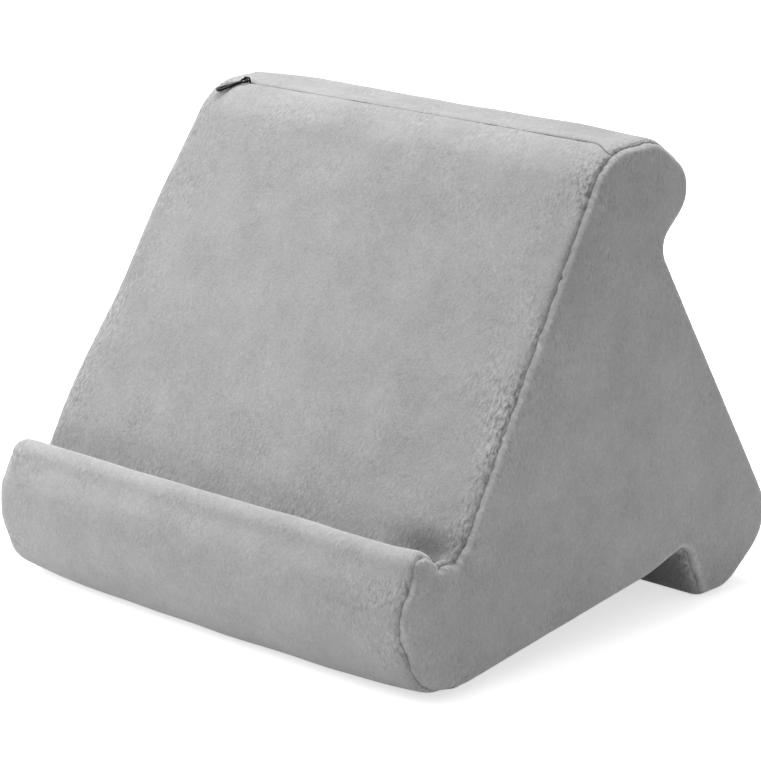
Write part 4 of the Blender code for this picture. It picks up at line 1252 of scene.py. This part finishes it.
# the plush's colour is scaled down by painted shade in creases and up by a painted highlight on rims
hollow = new_node(tree, "ShaderNodeAttribute", attribute_name="hollow").outputs["Fac"]
shade = maths(tree, "MULTIPLY_ADD", hollow, -PAINTED_SHADING_SHARE, 1.0)
with_painted_shade = scaled_by(tree, plush_grain.outputs["Color"], shade)
tree.links.new(with_painted_shade, tree.nodes["Principled BSDF"].inputs["Base Color"])

SOFT = {                 # dark, light, patch, tuft, strength, contrast and sheen
    "cream foam": ((0.72, 0.68, 0.55), (0.84, 0.81, 0.70), 0.006, 0.0012, 0.7, 0.6, 0.0),
    "grey thread": ((0.34, 0.34, 0.335), (0.46, 0.46, 0.45), 0.002, 0.0004, 0.3, 0.4, 0.1),
    "zip tape": ((0.22, 0.22, 0.22), (0.30, 0.30, 0.30), 0.003, 0.0004, 0.5, 0.4, 0.1),
}
foam, thread, tape = (soft_material(name, *look)[0] for name, look in SOFT.items())


def hard_material(name, colour, roughness):
    """Lacquered metal or nylon: a dark gloss with fine scuffs that make it duller in places."""
    constants = {"Base Color": (*colour, 1), "Specular IOR Level": 0.14}
    material, tree, shader, position = new_material(name, constants)
    scuffs = noise_on(tree, position, scale=900.0, detail=3.0)
    least, most = roughness - 0.08, roughness + 0.14
    dull = new_node(tree, "ShaderNodeMapRange", Value=scuffs, To_Min=least, To_Max=most)
    tree.links.new(dull.outputs[0], shader["Roughness"])
    return material


metal = hard_material("black lacquered metal", (0.006, 0.006, 0.007), 0.30)
nylon = hard_material("black nylon", (0.006, 0.006, 0.007), 0.45)
print("materials:", [m.name for m in (plush, foam, thread, tape, metal, nylon)])

# %% [markdown]
# ## Handing the pieces over
#
# Every panel stands for its CAD node and rides on the stand. The zip's metal
# and its tapes keep their CAD shapes and get a better material.

# %% Hand the panels over
def handed(piece, node, body):
    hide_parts(node)
    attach(piece, body)


for node, piece in {**wraps, **ends}.items():
    piece.data.materials.append(plush)
    handed(piece, node, "stand")
    print(piece.name, "for", node)


# %% Stitches and teeth
def row_along(node, x, turn, name, item, material, variation, seed):
    """Copies of an item in a straight row through a node's middle."""
    low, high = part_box(node)
    centre = (Vector(low) + Vector(high)) / 2.0
    places = [(v, centre.y, centre.z) for v in x]
    row = repeated(name, places, [turn] * len(x), item, material, variation, seed)
    handed(row, node, "stand")
    print(name, len(x), "copies")


STITCH_INSET = 0.0004    # a side stitch lies this far inside its seam
STITCH_SINK = 0.0003     # and this deep in the groove
TAPE_STITCH = 0.0030
TOOTH_PITCH = 0.0011
TOOTH_SLANT = 8.0        # degrees
TOOTH_LEAN = 7.0

stitch = rounded_bar("stitch", length=0.0026, width=0.00055, height=0.00045, squareness=3.0)
for side, node in ((1.0, "side_thread_right"), (-1.0, "side_thread_left")):
    s = np.arange(0.0, ROUND, STITCH_PITCH)
    x = np.full_like(s, side * (END - STITCH_INSET))
    y, z, ny, nz, draw = outline(s)
    height = fullness(s, x) - drawn_in(np.zeros_like(s), groove_depth(s, side))
    height -= draw + STITCH_SINK
    y, z = y + height * ny, np.maximum(z + height * nz, 0.001)
    places = np.stack([flare(pulled(x, y, z), z), y, z], 1)
    # a stitch's X runs along the outline, whose direction is (nz, -ny) in (y, z)
    turns = [Vector((0.0, b, -a)).to_track_quat("X", "Z").to_euler() for a, b in zip(ny, nz)]
    seam = repeated("stitches_" + node, places, turns, stitch, thread, variation=0.12, seed=3)
    handed(seam, node, "stand")
    print(seam.name, len(s), "copies")

x = np.arange(-CHAIN_END + 0.002, CHAIN_END - 0.001, TAPE_STITCH)
for node in ("zipper_thread_front", "zipper_thread_rear"):
    row_along(node, x, (0, 0, 0), "stitches_" + node, stitch, thread, 0.08, 4)

tooth = rounded_bar("tooth", length=0.00155, width=0.00072, height=0.00120, squareness=3.5)
count = int(2.0 * CHAIN_END / TOOTH_PITCH) - 1
for half, slant, shift in (("front", TOOTH_SLANT, 0.0), ("rear", -TOOTH_SLANT, 0.5)):
    x = -CHAIN_END + TOOTH_PITCH * (np.arange(count) + 1.0 + shift)
    turn = (radians(TOOTH_LEAN), 0.0, radians(90.0 + slant))
    node = "zipper_coil_" + half
    row_along(node, x, turn, "teeth_" + node, tooth, nylon, 0.02, 5)
for item in (stitch, tooth):
    bpy.data.objects.remove(item)


# %% The tapes, the slider and the pull
TAPE_EDGE, SLIDER_EDGE, PULL_EDGE = 0.00008, 0.00012, 0.00016    # how far an edge is rounded
TAPE_CUTS = 130          # along a tape


def refined(name, node, body, material, edge, cuts=0):
    """A finer copy of a node's shape: its sharp edges rounded, and its long edges cut."""
    made = bmesh.new()
    made.from_mesh(nodes[node].data)
    bmesh.ops.remove_doubles(made, verts=made.verts, dist=1e-6)
    bmesh.ops.dissolve_limit(made, angle_limit=radians(1.0), verts=made.verts, edges=made.edges)
    sharp = [e for e in made.edges if len(e.link_faces) == 2 and e.calc_face_angle(0.0) > radians(20.0)]
    bmesh.ops.bevel(
        made, geom=sharp, offset=edge, segments=2, profile=0.6, affect="EDGES", clamp_overlap=True
    )
    if cuts:
        long = [e for e in made.edges if e.calc_length() > 0.05]
        bmesh.ops.subdivide_edges(made, edges=long, cuts=cuts, use_grid_fill=True)
    bmesh.ops.recalc_face_normals(made, faces=made.faces)
    mesh = bpy.data.meshes.new(name)
    made.to_mesh(mesh)
    made.free()
    mesh.shade_smooth()
    mesh.set_sharp_from_angle(angle=radians(50.0))
    mesh.materials.append(material)
    handed(placed(name, mesh), node, body)
    print(name, len(mesh.polygons), "faces")


for half in ("front", "rear"):
    node = "zipper_tape_" + half
    refined("woven_tape_" + half, node, "stand", tape, TAPE_EDGE, TAPE_CUTS)
refined("slider_body", "zipper_slider", "slider", metal, SLIDER_EDGE)
refined("pull_leaf", "zipper_pull_tab", "pull", metal, PULL_EDGE)
for name in ("zipper_top_stop_front", "zipper_top_stop_rear", "zipper_bottom_stop"):
    for slot in nodes[name].material_slots:
        slot.material = metal
    print(name, "->", metal.name)

# %% The foam
foam_piece.data.materials.append(foam)
handed(foam_piece, "foam_core", "stand")
print(foam_piece.name, "for foam_core")
